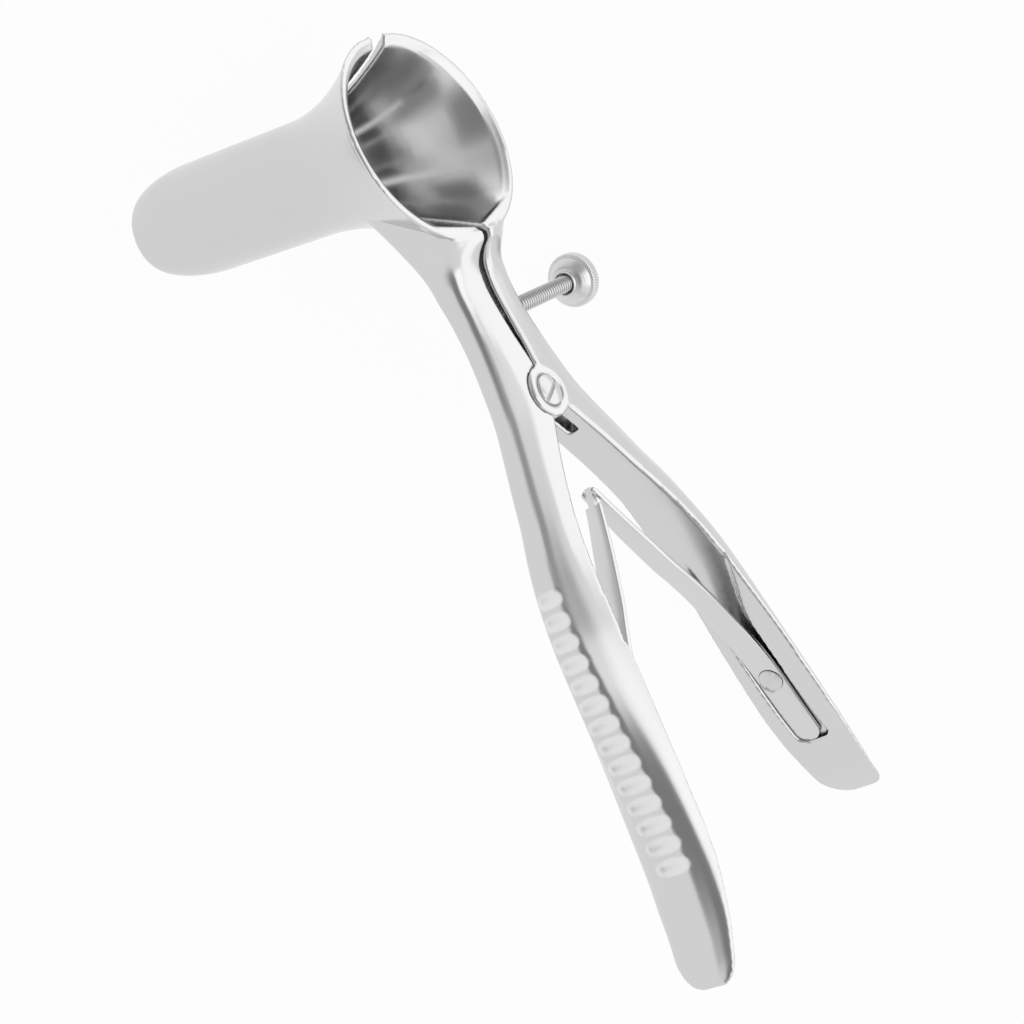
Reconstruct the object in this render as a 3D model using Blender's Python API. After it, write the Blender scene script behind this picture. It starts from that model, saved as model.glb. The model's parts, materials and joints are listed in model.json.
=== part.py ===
"""Anal speculum: two stainless half-blades on one pivot, opened by squeezing the handles.

Design frame: X across the instrument (right half at +X), Y from the operator to the blade tips,
Z up, handles hanging down. The pivot's axis is the Y axis. Each half is modelled closed against
the plane X = 0, turned open by half the rest opening, and the whole is then laid on its side.
Units are metres.
"""
import math

import bmesh
import bpy
import numpy as np
from mathutils import Matrix, Vector

MM = 0.001

# clearances
GAP = 0.3 * MM                     # between pieces that touch on the real instrument
RUN_GAP = 0.1 * MM                 # radial, a shaft in its hole
PLANE_GAP = 0.15 * MM              # each half's distance from the closing plane

# opening
REST_OPENING = math.radians(2.7)   # how far the set screw holds the blades apart

# blade tube and funnel
TUBE_RADIUS = 11.8 * MM
TUBE_LENGTH = 72.6 * MM            # mouth centre to the blade tip
TUBE_TILT = math.radians(13.3)     # tube axis above the pivot's axis direction
TUBE_WALL = 1.3 * MM
TIP_CUT_TOP = 6.5 * MM             # how far the blade's upper rim stops short of its tip
TIP_CUT_BOTTOM = 9.0 * MM
TIP_CURL = 1.0 * MM                # inward curl of the tip
TIP_CURL_LENGTH = 7.0 * MM
MOUTH_RADIUS = 21.8 * MM
MOUTH_CENTRE = Vector((0.0, -5.7 * MM, 53.5 * MM))
MOUTH_TILT = math.radians(1.8)     # mouth plane's normal above the pivot's axis direction
RIM_WALL = 2.0 * MM
FLARE_LENGTH = 29.0 * MM
FLARE_POWER = 1.75
SHELL_STEPS = 20                   # facets round half a turn

# pivot and lap joint
LUG_RADIUS = 5.5 * MM
LUG_FRONT = 0.05 * MM              # Y of the lug's front face
LAP_PLANE = 4.8 * MM               # Y of the plane where the two lugs meet
LUG_BACK = 9.4 * MM
PIVOT_RADIUS = 2.0 * MM
PIVOT_HEAD_RADIUS = 3.2 * MM
PIVOT_HEAD_SEAT = 0.8 * MM         # Y of the underside of the head
PIVOT_HEAD_EDGE = 0.75 * MM        # height of the head's round side
PIVOT_HEAD_DOME = 0.55 * MM
SLOT_WIDTH = 0.9 * MM
SLOT_DEPTH = 0.75 * MM
POCKET_TOP = -4.6 * MM             # slot below the right lug, in the handle's inner face
POCKET_BOTTOM = -9.9 * MM
POCKET_WIDTH = 1.9 * MM
POCKET_DEPTH = 4.0 * MM

# handle grips
GRIP_COUNT = 14
GRIP_TOP = -33.0 * MM
GRIP_BOTTOM = -87.0 * MM
GRIP_DEPTH = 0.6 * MM
GRIP_SEGMENTS = 12
GRIP_RADII = (2.0 * MM, 7.0 * MM, 2.4 * MM)   # depthwise, across the handle, along it

# set screw and knob
SCREW_HEIGHT = 18.0 * MM
SCREW_Y = 5.3 * MM
SCREW_RADIUS = 1.8 * MM
KNOB_RADIUS = 5.75 * MM
KNOB_FACE = 33.0 * MM              # X where the knurled rim starts
KNOB_THICKNESS = 2.35 * MM
KNOB_DOME = 2.1 * MM
KNOB_BOSS_RADIUS = 2.6 * MM
KNOB_BOSS_LENGTH = 0.7 * MM
KNOB_END_WALL = 0.7 * MM
KNURL_COUNT = 30
KNURL_DEPTH = 0.16 * MM

# leaf springs
LEAF_THICKNESS = 1.1 * MM
TONGUE_WIDTH = 1.7 * MM            # left leaf's tongue, which runs in the right leaf's fork
TONGUE_LENGTH = 5.0 * MM
TONGUE_REACH = 0.2 * MM            # how far the left leaf is longer than the right one
FORK_DEPTH = 4.6 * MM
SEAT_TOP = -70.0 * MM              # above it the seat runs out into the handle's inner face
SEAT_RUN_OUT = -44.0 * MM
SEAT_BOTTOM = -94.0 * MM
SEAT_ROUND = 4.0 * MM
SPRING_SCREW_Z = -76.8 * MM
SPRING_BEND = math.radians(4.2)     # each leaf gives this much towards its handle
SPRING_SCREW_RADIUS = 1.3 * MM
SINK_GAP = 0.5 * MM                # radial, screw head in its countersink
SPRING_HEAD_RADIUS = 2.6 * MM
SPRING_HEAD_HEIGHT = 0.8 * MM
SPRING_SHANK = 2.2 * MM
SPRING_SLOT_TURN = math.radians(72)

# Neck and handle outlines, each a smooth curve through (height Z, value), in millimetres.
INNER_X = [(46, .25), (34, .25), (31, .4), (27, .5), (18, .5), (10, .35), (6.5, .15), (0, .15),
           (-3, 1.8), (-6.5, 4.2), (-13, 8.5), (-19.6, 12.3), (-27.3, 16.3), (-35, 19.5),
           (-43.6, 22.1), (-54.5, 24.6), (-65.4, 27.1), (-76.3, 29.3), (-87.2, 31.7),
           (-98.1, 35.4), (-104, 38.0), (-109.3, 41.5)]
OUTER_X = [(46, 10.2), (42, 10.6), (39, 10.9), (36, 10.5), (33, 9.6), (29, 8.6), (22, 8.4),
           (16.4, 8.9), (10.9, 9.9), (5.5, 11.2), (0, 12.8), (-6.5, 15.6), (-13, 18.7),
           (-19.6, 21.7), (-27, 25.5), (-35, 28.4), (-43.6, 30.7), (-54.5, 32.2), (-65.4, 33.0),
           (-76.3, 34.1), (-87.2, 35.7), (-98, 38.1), (-109.3, 42.7)]
FRONT_INNER_Y = [(46, -6.0), (34, -5.9), (32, -4.9), (30, -2.9), (27.5, -1.2), (24, -.1), (18, .3),
                 (8, .15), (0, .1), (-10, .15), (-20, 0), (-35, -1.2), (-44, -1.8), (-65, -2.1),
                 (-87, -1.5), (-98, -.2), (-104, 1.2), (-109.3, 2.4)]
FRONT_OUTER_Y = [(46, -3.0), (42, -3.2), (38, -3.4), (34, -3.6), (31, -2.0), (28, -.1), (24, .9),
                 (16.4, 1.55), (5.5, 2.2), (-6.5, 2.7), (-35, 2.8), (-54.5, 2.6), (-76.3, 2.9),
                 (-98, 5.0), (-109.3, 6.2)]
BACK_OUTER_Y = [(46, 10.8), (43, 9.7), (40, 8.4), (37, 7.4), (33, 7.0), (17, 6.95), (0, 7.55),
                (-18, 8.05), (-30.5, 8.75), (-45.8, 9.25), (-61.7, 10.2), (-77.8, 10.7),
                (-93, 10.0), (-109.3, 9.4)]
BACK_INNER_Y = [(46, 12.5), (43, 11.2), (40, 10.0), (36, 9.4), (30, 9.3), (0, 9.5), (-10, 9.95),
                (-24, 10.25), (-36, 11.7), (-53, 13.2), (-65, 14.8), (-78, 16.1), (-88, 16.8),
                (-98, 17.3), (-109.3, 17.2)]
HANDLE_TOP = 45.0 * MM
HANDLE_BOTTOM = -109.3 * MM
END_FRONT_ROUND = 3.2 * MM         # corner radii of the handle's end, seen on its inner face
END_BACK_ROUND = 6.0 * MM
END_THIN = 0.45                    # how far the end's outer face rounds in, as a share of the thickness
INNER_ROUND = 0.5 * MM             # rounding of the edges of the handle's inner face
OUTER_ROUND = 2.2 * MM
CROWN_PLACE = 0.55                 # front and back bulge: where, as a share of the thickness
CROWN_DROP = 0.3

# Leaf spring's centre line (X, Z) and its edges (height Z, Y), in millimetres.
LEAF_LINE = [(0, -21.0), (1.3, -23.5), (2.15, -25.2), (4.2, -29.2), (6.4, -33.2), (8.9, -37.5),
             (12.0, -42.8), (14.4, -46.2), (16.9, -50.0), (20.3, -55.0), (23.45, -60.0),
             (26.3, -65.0), (28.45, -70.0), (30.0, -75.0), (31.2, -80.0), (32.35, -85.0),
             (33.6, -89.5), (34.6, -93.2)]
LEAF_FRONT_Y = [(-18, 2.7), (-24, 2.7), (-32, 2.7), (-50, 3.3), (-62, 4.8), (-80, 5.6), (-94, 6.4)]
LEAF_BACK_Y = [(-18, 6.5), (-24, 6.5), (-32, 7.3), (-50, 8.5), (-62, 10.7), (-80, 11.8), (-94, 12.1)]
SEAT_FRONT_Y = [(-44, -4.0), (-48, -1.2), (-53, .8), (-58, 3.0), (-63, 4.2), (-76, 4.6), (-94, 5.0)]
SEAT_BACK_Y = [(-44, 11.6), (-62, 11.6), (-80, 12.2), (-94, 12.5)]


def smooth(points, at):
    """Monotone cubic through (station, value) points; both in millimetres, the result in metres."""
    pts = np.array(sorted(points), float)
    x, y = pts[:, 0], pts[:, 1]
    step = np.diff(x)
    slope = np.diff(y) / step
    tangent = np.zeros(len(x))
    tangent[0], tangent[-1] = slope[0], slope[-1]
    for i in range(1, len(x) - 1):
        if slope[i - 1] * slope[i] > 0:
            w1 = 2 * step[i] + step[i - 1]
            w2 = step[i] + 2 * step[i - 1]
            tangent[i] = (w1 + w2) / (w1 / slope[i - 1] + w2 / slope[i])
    at = min(max(at / MM, x[0]), x[-1])
    i = min(max(int(np.searchsorted(x, at)) - 1, 0), len(x) - 2)
    t = (at - x[i]) / step[i]
    value = ((1 + 2 * t) * (1 - t) ** 2 * y[i] + t * (1 - t) ** 2 * step[i] * tangent[i]
             + t * t * (3 - 2 * t) * y[i + 1] + t * t * (t - 1) * step[i] * tangent[i + 1])
    return value * MM


def rounded(corners, radii, steps):
    """Closed outline (2D) through the corners, each rounded by an arc of its radius."""
    outline = []
    count = len(corners)
    for i in range(count):
        here = Vector(corners[i])
        before = (Vector(corners[i - 1]) - here)
        after = (Vector(corners[(i + 1) % count]) - here)
        half = before.angle(after) / 2
        reach = min(radii[i] / math.tan(half), 0.45 * before.length, 0.45 * after.length)
        radius = reach * math.tan(half)
        start = here + before.normalized() * reach
        end = here + after.normalized() * reach
        centre = here + (before.normalized() + after.normalized()).normalized() * (radius / math.sin(half))
        a = start - centre
        b = end - centre
        sweep = a.angle(b)
        for k in range(steps + 1):
            t = k / steps
            point = centre + (a * math.sin((1 - t) * sweep) + b * math.sin(t * sweep)) / math.sin(sweep)
            outline.append((point.x, point.y))
    return outline


def loft(name, sections):
    """Closed solid through section loops of equal point count."""
    bm = bmesh.new()
    rings = [[bm.verts.new(point) for point in section] for section in sections]
    count = len(rings[0])
    for low, high in zip(rings, rings[1:]):
        for i in range(count):
            j = (i + 1) % count
            bm.faces.new((low[i], low[j], high[j], high[i]))
    bm.faces.new(rings[0])
    bm.faces.new(rings[-1])
    bmesh.ops.recalc_face_normals(bm, faces=bm.faces)
    return to_object(name, bm)


def to_object(name, bm):
    mesh = bpy.data.meshes.new(name)
    bm.to_mesh(mesh)
    bm.free()
    obj = bpy.data.objects.new(name, mesh)
    work.objects.link(obj)
    return obj


def cylinder(name, radius, start, end, segments=40, end_radius=None):
    """Cylinder or cone frustum from start to end."""
    start, end = Vector(start), Vector(end)
    axis = end - start
    bm = bmesh.new()
    bmesh.ops.create_cone(bm, cap_ends=True, segments=segments, radius1=radius,
                          radius2=radius if end_radius is None else end_radius, depth=axis.length)
    turn = Vector((0, 0, 1)).rotation_difference(axis).to_matrix().to_4x4()
    bmesh.ops.transform(bm, matrix=Matrix.Translation((start + end) / 2) @ turn, verts=bm.verts)
    return to_object(name, bm)


def box(name, size, centre, turn=None):
    bm = bmesh.new()
    bmesh.ops.create_cube(bm, size=1.0)
    bmesh.ops.scale(bm, vec=size, verts=bm.verts)
    if turn is not None:
        bmesh.ops.transform(bm, matrix=turn.to_4x4(), verts=bm.verts)
    bmesh.ops.translate(bm, vec=centre, verts=bm.verts)
    return to_object(name, bm)


def turned(name, profile, steps):
    """Solid turned about the X axis from a closed profile of (x, radius) that starts and ends on it."""
    bm = bmesh.new()
    points = [bm.verts.new((x, 0.0, r)) for x, r in profile]
    edges = [bm.edges.new(pair) for pair in zip(points, points[1:])]
    bmesh.ops.spin(bm, geom=points + edges, axis=(1, 0, 0), cent=(0, 0, 0), steps=steps,
                   angle=2 * math.pi, use_merge=True)
    bmesh.ops.remove_doubles(bm, verts=bm.verts, dist=1e-7)
    bmesh.ops.recalc_face_normals(bm, faces=bm.faces)
    return to_object(name, bm)


def combine(target, tool, operation):
    """Boolean of target with tool, applied; the tool is removed."""
    modifier = target.modifiers.new(operation.lower(), "BOOLEAN")
    modifier.operation = operation
    modifier.solver = "EXACT"
    modifier.object = tool
    shape = bpy.data.meshes.new_from_object(target.evaluated_get(bpy.context.evaluated_depsgraph_get()))
    target.modifiers.clear()
    target.data = shape
    bpy.data.objects.remove(tool)


def mirror_x(obj):
    """Mirror the mesh across the closing plane, with its faces turned to point out again."""
    bm = bmesh.new()
    bm.from_mesh(obj.data)
    bmesh.ops.scale(bm, vec=(-1, 1, 1), verts=bm.verts)
    bmesh.ops.reverse_faces(bm, faces=bm.faces)
    bm.to_mesh(obj.data)
    bm.free()


def flare_radius(s):
    """Outer radius of tube and funnel at distance s from the mouth."""
    near = max(0.0, 1 - max(s, 0.0) / FLARE_LENGTH)
    return TUBE_RADIUS + (MOUTH_RADIUS - TUBE_RADIUS) * near ** FLARE_POWER


def tube_point(s, radius, angle):
    """Point of the tube: angle 0 is outermost (+X), 90 degrees is the top."""
    blend = min(1.0, max(0.0, s / FLARE_LENGTH))
    tilt = MOUTH_TILT * (1 - blend) + TUBE_TILT * blend
    axis = Vector((0, math.cos(TUBE_TILT), math.sin(TUBE_TILT)))
    up = Vector((0, -math.sin(tilt), math.cos(tilt)))
    return MOUTH_CENTRE + axis * s + Vector((1, 0, 0)) * radius * math.cos(angle) + up * radius * math.sin(angle)


def wall_profile():
    """Closed outline of the wall as (s, radius): outside to the tip, then back along the inside."""
    stations = [1.2, 2.6, 4.4, 6.6, 9.2, 12.5, 16.5, 21.5, 28.0, 40.0, 54.0]
    tip = TUBE_LENGTH / MM
    curl = TIP_CURL_LENGTH / MM
    stations += [tip - curl, tip - 0.6 * curl, tip - 0.3 * curl, tip - 0.1 * curl]
    outer, inner = [], []
    for station in stations:
        s = station * MM
        reach = max(0.0, (s - (TUBE_LENGTH - TIP_CURL_LENGTH)) / TIP_CURL_LENGTH)
        radius = flare_radius(s) - TIP_CURL * reach ** 2
        slope = (flare_radius(s + 0.1 * MM) - flare_radius(s - 0.1 * MM)) / (0.2 * MM)
        length = math.hypot(1, slope)
        wall = TUBE_WALL + (RIM_WALL - TUBE_WALL) * max(0.0, 1 - s / (10 * MM))
        outer.append((s, radius))
        inner.append((s + wall * slope / length, radius - wall / length))
    tip_radius = TUBE_RADIUS - TIP_CURL
    tip_end = [(TUBE_LENGTH - 0.1 * MM, tip_radius - 0.35 * TUBE_WALL),
               (TUBE_LENGTH - 0.1 * MM, tip_radius - 0.7 * TUBE_WALL)]
    rim = [(0.55 * MM, MOUTH_RADIUS - 1.75 * MM), (0.1 * MM, MOUTH_RADIUS - 1.3 * MM),
           (0.0, MOUTH_RADIUS - 0.8 * MM), (0.2 * MM, MOUTH_RADIUS - 0.25 * MM)]
    inner = [point for point in inner if point[0] > 0.9 * MM]
    return outer + tip_end + inner[::-1] + rim


def blade_shell():
    """Half of the tube and funnel, in the closed right-half position."""
    profile = wall_profile()
    sections = []
    for k in range(SHELL_STEPS + 1):
        angle = math.pi * (k / SHELL_STEPS - 0.5)
        cut = TIP_CUT_TOP if angle > 0 else TIP_CUT_BOTTOM
        end = TUBE_LENGTH - cut * (1 - math.cos(angle)) ** 1.5
        section = []
        for s, radius in profile:
            if s > FLARE_LENGTH:
                s = FLARE_LENGTH + (s - FLARE_LENGTH) * (end - FLARE_LENGTH) / (TUBE_LENGTH - FLARE_LENGTH)
            section.append(tube_point(s, radius, angle) + Vector((PLANE_GAP, 0, 0)))
        sections.append(section)
    return loft("blade_shell", sections)


def mid_wall_cutter():
    """Full-round solid to the middle of the funnel's wall, which clears the neck out of the funnel."""
    rings = []
    for station in (-9.0, -0.5, 1.5, 3.5, 6.0, 9.0, 13.0, 18.0, 24.0, 32.0):
        s = station * MM
        wall = TUBE_WALL + (RIM_WALL - TUBE_WALL) * max(0.0, 1 - max(s, 0.0) / (10 * MM))
        radius = flare_radius(s) - 0.75 * wall
        rings.append([tube_point(s, radius, 2 * math.pi * k / 48) for k in range(48)])
    return loft("mid_wall_cutter", rings)


def corner_inset(z, radius):
    """How far a side of the handle's end draws in at height z, for a corner of this radius."""
    into = min(1.0, max(0.0, (HANDLE_BOTTOM + radius - z) / radius))
    return radius * (1 - math.sqrt(1 - into ** 2))


def handle_body():
    """Neck and handle of the right half, as level sections from the funnel to the handle's end."""
    levels = list(np.arange(HANDLE_TOP, 22 * MM, -2.1 * MM)) + list(np.arange(22 * MM, -12 * MM, -3.2 * MM))
    levels += list(np.arange(-12 * MM, HANDLE_BOTTOM + END_BACK_ROUND, -5.4 * MM))
    for share in (0.0, 0.3, 0.6, 0.8, 0.93, 0.99):
        levels.append(HANDLE_BOTTOM + END_BACK_ROUND * (1 - share))
    sections = []
    for z in levels:
        front_in, back_in = corner_inset(z, END_FRONT_ROUND), corner_inset(z, END_BACK_ROUND)
        x_in, x_out = smooth(INNER_X, z), smooth(OUTER_X, z)
        thin = END_THIN * back_in / END_BACK_ROUND * (x_out - x_in)
        inner_front, inner_back = smooth(FRONT_INNER_Y, z) + front_in, smooth(BACK_INNER_Y, z) - back_in
        outer_front, outer_back = smooth(FRONT_OUTER_Y, z) + front_in, smooth(BACK_OUTER_Y, z) - back_in
        if outer_back - outer_front < 1.2 * MM:
            middle = (outer_front + outer_back) / 2
            outer_front, outer_back = middle - 0.6 * MM, middle + 0.6 * MM
        x_mid = x_in + CROWN_PLACE * (x_out - x_in)
        front_mid = inner_front + CROWN_DROP * (outer_front - inner_front)
        back_mid = inner_back + CROWN_DROP * (outer_back - inner_back)
        corners = [(x_in, inner_front), (x_mid, front_mid), (x_out - thin, outer_front),
                   (x_out - thin, outer_back), (x_mid, back_mid), (x_in, inner_back)]
        outline = rounded(corners, (INNER_ROUND, 9 * MM, OUTER_ROUND, OUTER_ROUND, 9 * MM, INNER_ROUND), 3)
        sections.append([(x, y, z) for x, y in outline])
    return loft("handle_body", sections)


def grip_cutter():
    """Row of shallow finger scallops for the handle's outer face, one ellipsoid each."""
    bm = bmesh.new()
    for k in range(GRIP_COUNT):
        z = GRIP_TOP + (GRIP_BOTTOM - GRIP_TOP) * k / (GRIP_COUNT - 1)
        slope = (smooth(OUTER_X, z + MM) - smooth(OUTER_X, z - MM)) / (2 * MM)
        middle = (smooth(FRONT_OUTER_Y, z) + smooth(BACK_OUTER_Y, z)) / 2
        out = Vector((1, 0, -slope)).normalized()
        centre = Vector((smooth(OUTER_X, z), middle, z)) + out * (GRIP_RADII[0] - GRIP_DEPTH)
        turn = Vector((1, 0, 0)).rotation_difference(out).to_matrix().to_4x4()
        place = Matrix.Translation(centre) @ turn @ Matrix.Diagonal((*GRIP_RADII, 1))
        bmesh.ops.create_uvsphere(bm, u_segments=GRIP_SEGMENTS, v_segments=GRIP_SEGMENTS // 2, radius=1.0,
                                  matrix=place @ Matrix.Rotation(math.pi / 2, 4, "Y"))
    return to_object("grip_cutter", bm)


def seat_floor(z):
    """X of the seat's floor: just outside the leaf, and above it running out into the inner face."""
    line = [(height, x) for x, height in LEAF_LINE]
    station = min(z, SEAT_TOP)
    room = max(0.0, station - SPRING_SCREW_Z) * math.tan(SPRING_BEND)
    depth = smooth(line, station) + 1.03 * LEAF_THICKNESS / 2 + GAP + room - smooth(INNER_X, station)
    run_in = min(1.0, max(0.0, (SEAT_RUN_OUT - z) / (SEAT_RUN_OUT - SEAT_TOP)))
    return smooth(INNER_X, z) + depth * run_in ** 0.7 - 0.02 * MM * (1 - run_in)


def seat_cutter():
    """Recess in the handle's inner face that the leaf spring lies in, with a round lower end."""
    levels = list(np.arange(SEAT_RUN_OUT, SEAT_BOTTOM + SEAT_ROUND, -3.5 * MM))
    for share in (0.0, 0.3, 0.6, 0.8, 0.93, 0.99):
        levels.append(SEAT_BOTTOM + SEAT_ROUND * (1 - share))
    sections = []
    for z in levels:
        into_end = max(0.0, (SEAT_BOTTOM + SEAT_ROUND - z) / SEAT_ROUND)
        draw_in = 0.85 * SEAT_ROUND * (1 - math.sqrt(max(0.0, 1 - into_end ** 2)))
        floor = seat_floor(z)
        top = smooth(INNER_X, z) - 8 * MM
        front, back = smooth(SEAT_FRONT_Y, z) + draw_in, smooth(SEAT_BACK_Y, z) - draw_in
        corners = [(top, front), (floor, front), (floor, back), (top, back)]
        outline = rounded(corners, (0.2 * MM, 0.5 * MM, 0.5 * MM, 0.2 * MM), 2)
        sections.append([(x, y, z) for x, y in outline])
    return loft("seat_cutter", sections)


def pocket_cutter():
    """Slot in the right handle's inner face just below its lug, at the lap plane."""
    top, bottom = Vector((3.2 * MM, 0, POCKET_TOP)), Vector((0, 0, POCKET_BOTTOM))
    top.x = smooth(INNER_X, POCKET_TOP)
    bottom.x = smooth(INNER_X, POCKET_BOTTOM)
    along = bottom - top
    turn = Vector((0, 0, -1)).rotation_difference(along).to_matrix()
    centre = (top + bottom) / 2 + Vector((0, LAP_PLANE, 0))
    return box("pocket", (2 * POCKET_DEPTH, POCKET_WIDTH, along.length), centre, turn)


def spring_axis():
    """Place and direction of the spring screw: on the leaf's centre line, square to it."""
    line = [(height, x) for x, height in LEAF_LINE]
    x = smooth(line, SPRING_SCREW_Z)
    slope = (smooth(line, SPRING_SCREW_Z + MM) - smooth(line, SPRING_SCREW_Z - MM)) / (2 * MM)
    y = (smooth(LEAF_FRONT_Y, SPRING_SCREW_Z) + smooth(LEAF_BACK_Y, SPRING_SCREW_Z)) / 2
    inward = Vector((-1, 0, slope)).normalized()
    return Vector((x, y, SPRING_SCREW_Z)), inward


def half(name, side):
    """One forging: half-blade, half-funnel, neck, lug and handle. side is +1 right, -1 left."""
    body = handle_body()
    combine(body, mid_wall_cutter(), "DIFFERENCE")
    combine(body, blade_shell(), "UNION")
    if side > 0:
        combine(body, cylinder("lug", LUG_RADIUS, (0, LUG_FRONT, 0), (0, LUG_BACK - MM, 0)), "UNION")
        combine(body, cylinder("recess", LUG_RADIUS + GAP, (0, LAP_PLANE - GAP / 2, 0), (0, LUG_BACK + 4 * MM, 0)),
                "DIFFERENCE")
        combine(body, cylinder("hole", PIVOT_RADIUS + RUN_GAP, (0, -5 * MM, 0), (0, LAP_PLANE, 0)), "DIFFERENCE")
        combine(body, cylinder("seat", PIVOT_HEAD_RADIUS + GAP, (0, -5 * MM, 0), (0, PIVOT_HEAD_SEAT + GAP, 0)),
                "DIFFERENCE")
        combine(body, pocket_cutter(), "DIFFERENCE")
        combine(body, cylinder("tapped", SCREW_RADIUS + RUN_GAP, (-4 * MM, SCREW_Y, SCREW_HEIGHT),
                               (16 * MM, SCREW_Y, SCREW_HEIGHT), 32), "DIFFERENCE")
    else:
        combine(body, cylinder("lug", LUG_RADIUS, (0, LUG_FRONT + MM, 0), (0, LUG_BACK, 0)), "UNION")
        combine(body, cylinder("recess", LUG_RADIUS + GAP, (0, -4 * MM, 0), (0, LAP_PLANE + GAP / 2, 0)),
                "DIFFERENCE")
        combine(body, cylinder("hole", PIVOT_RADIUS + RUN_GAP, (0, 0, 0), (0, LUG_BACK + 4 * MM, 0)), "DIFFERENCE")
    combine(body, seat_cutter(), "DIFFERENCE")
    combine(body, grip_cutter(), "DIFFERENCE")
    place, inward = spring_axis()
    deep = place - inward * (LEAF_THICKNESS / 2 + GAP + SPRING_SHANK + GAP)
    combine(body, cylinder("tapped", SPRING_SCREW_RADIUS + RUN_GAP, deep, place + inward * 4 * MM, 24), "DIFFERENCE")
    if side < 0:
        mirror_x(body)
    return finish(body, name, steel_forged, Vector((0, 0, 0)))


def leaf(name, side):
    """Leaf spring, narrow at its tip and broad at its seat: the right one forked, the left with a tongue."""
    line = [Vector((x * MM, 0, z * MM)) for x, z in LEAF_LINE]
    if side < 0:
        line[0] += (line[0] - line[1]).normalized() * TONGUE_REACH
    line.insert(1, line[0] + (line[1] - line[0]).normalized() * 0.6 * MM)
    sections = []
    for i, point in enumerate(line):
        before, after = line[max(i - 1, 0)], line[min(i + 1, len(line) - 1)]
        normal = Vector((0, 1, 0)).cross((after - before).normalized())
        front, back = smooth(LEAF_FRONT_Y, point.z), smooth(LEAF_BACK_Y, point.z)
        inset = {0: 0.9 * MM, 1: 0.2 * MM, len(line) - 2: 0.5 * MM, len(line) - 1: 2.4 * MM}.get(i, 0.0)
        front, back = front + inset, back - inset
        offset = normal * LEAF_THICKNESS / 2
        sections.append([point + offset + Vector((0, front, 0)), point + offset + Vector((0, back, 0)),
                         point - offset + Vector((0, back, 0)), point - offset + Vector((0, front, 0))])
    body = loft("leaf", sections)
    front, back = smooth(LEAF_FRONT_Y, line[0].z), smooth(LEAF_BACK_Y, line[0].z)
    middle = (front + back) / 2
    top = line[0]
    down = (line[2] - line[0]).normalized()
    turn = Vector((0, 0, -1)).rotation_difference(down).to_matrix()
    if side > 0:
        slot = box("slot", (6 * MM, TONGUE_WIDTH + 2 * GAP, 2 * FORK_DEPTH), top + Vector((0, middle, 0)), turn)
        combine(body, slot, "DIFFERENCE")
    else:
        notch = back - front
        for direction in (-1, 1):
            centre = top + Vector((0, middle + direction * (TONGUE_WIDTH + notch) / 2, 0))
            combine(body, box("notch", (6 * MM, notch, 2 * TONGUE_LENGTH), centre, turn), "DIFFERENCE")
    place, inward = spring_axis()
    outer = place + inward * LEAF_THICKNESS
    combine(body, cylinder("hole", SPRING_SCREW_RADIUS + GAP, place - inward * 2 * MM, outer, 24), "DIFFERENCE")
    low = place + inward * (LEAF_THICKNESS / 2 - SPRING_HEAD_HEIGHT - GAP / 2)
    high = place + inward * (LEAF_THICKNESS / 2 + GAP)
    combine(body, cylinder("sink", SPRING_SCREW_RADIUS + GAP, low, high, 32,
                           SPRING_HEAD_RADIUS + SINK_GAP), "DIFFERENCE")
    origin = Vector(place)
    if side < 0:
        mirror_x(body)
        origin.x = -origin.x
    return finish(body, name, steel_spring, origin)


def spring_screw(name, side):
    """Slotted countersunk screw that holds a leaf spring's seat."""
    place, inward = spring_axis()
    face = place + inward * (LEAF_THICKNESS / 2 + 0.05 * MM)
    neck = face - inward * SPRING_HEAD_HEIGHT
    tip = place - inward * (LEAF_THICKNESS / 2 + GAP + SPRING_SHANK)
    body = cylinder("shank", SPRING_SCREW_RADIUS, tip, neck + inward * 0.2 * MM, 24)
    combine(body, cylinder("head", SPRING_SCREW_RADIUS, neck, face, 32, SPRING_HEAD_RADIUS), "UNION")
    turn = Vector((1, 0, 0)).rotation_difference(inward).to_matrix() @ Matrix.Rotation(SPRING_SLOT_TURN, 3, "X")
    combine(body, box("slot", (0.9 * MM, 0.7 * MM, 8 * MM), face, turn), "DIFFERENCE")
    origin = Vector(place)
    if side < 0:
        mirror_x(body)
        origin.x = -origin.x
    return finish(body, name, steel_bright, origin)


def pivot_screw():
    """Slotted pivot screw: domed head on the right lug, shank through both lugs."""
    top = PIVOT_HEAD_EDGE + PIVOT_HEAD_DOME
    profile = [(0.0, 0.0), (0.0, PIVOT_HEAD_RADIUS)]
    profile.append((PIVOT_HEAD_EDGE, PIVOT_HEAD_RADIUS))
    for share in (0.92, 0.8, 0.6, 0.35, 0.0):
        profile.append((PIVOT_HEAD_EDGE + PIVOT_HEAD_DOME * (1 - share ** 2), PIVOT_HEAD_RADIUS * share))
    shank_end = LUG_BACK - PIVOT_HEAD_SEAT + 0.3 * MM
    shank = [(-shank_end, 0.0), (-shank_end, PIVOT_RADIUS - 0.3 * MM), (-shank_end + 0.3 * MM, PIVOT_RADIUS),
             (0.0, PIVOT_RADIUS)]
    body = turned("pivot", shank + profile[1:], 36)
    combine(body, box("slot", (2 * SLOT_DEPTH, 9 * MM, SLOT_WIDTH), (top, 0, 0)), "DIFFERENCE")
    body.data.transform(Matrix.Rotation(math.radians(28), 4, "X"))
    body.data.transform(Matrix.Rotation(-math.pi / 2, 4, "Z"))
    body.data.transform(Matrix.Translation((0, PIVOT_HEAD_SEAT, 0)))
    return finish(body, "pivot_screw", steel_bright, Vector((0, 0, 0)))


def screw_tip():
    """X of the set screw's tip in the right half's frame: it bears on the left neck."""
    shift = 2 * SCREW_HEIGHT * math.tan(REST_OPENING / 2)
    return -(shift + smooth(INNER_X, SCREW_HEIGHT)) + GAP


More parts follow.
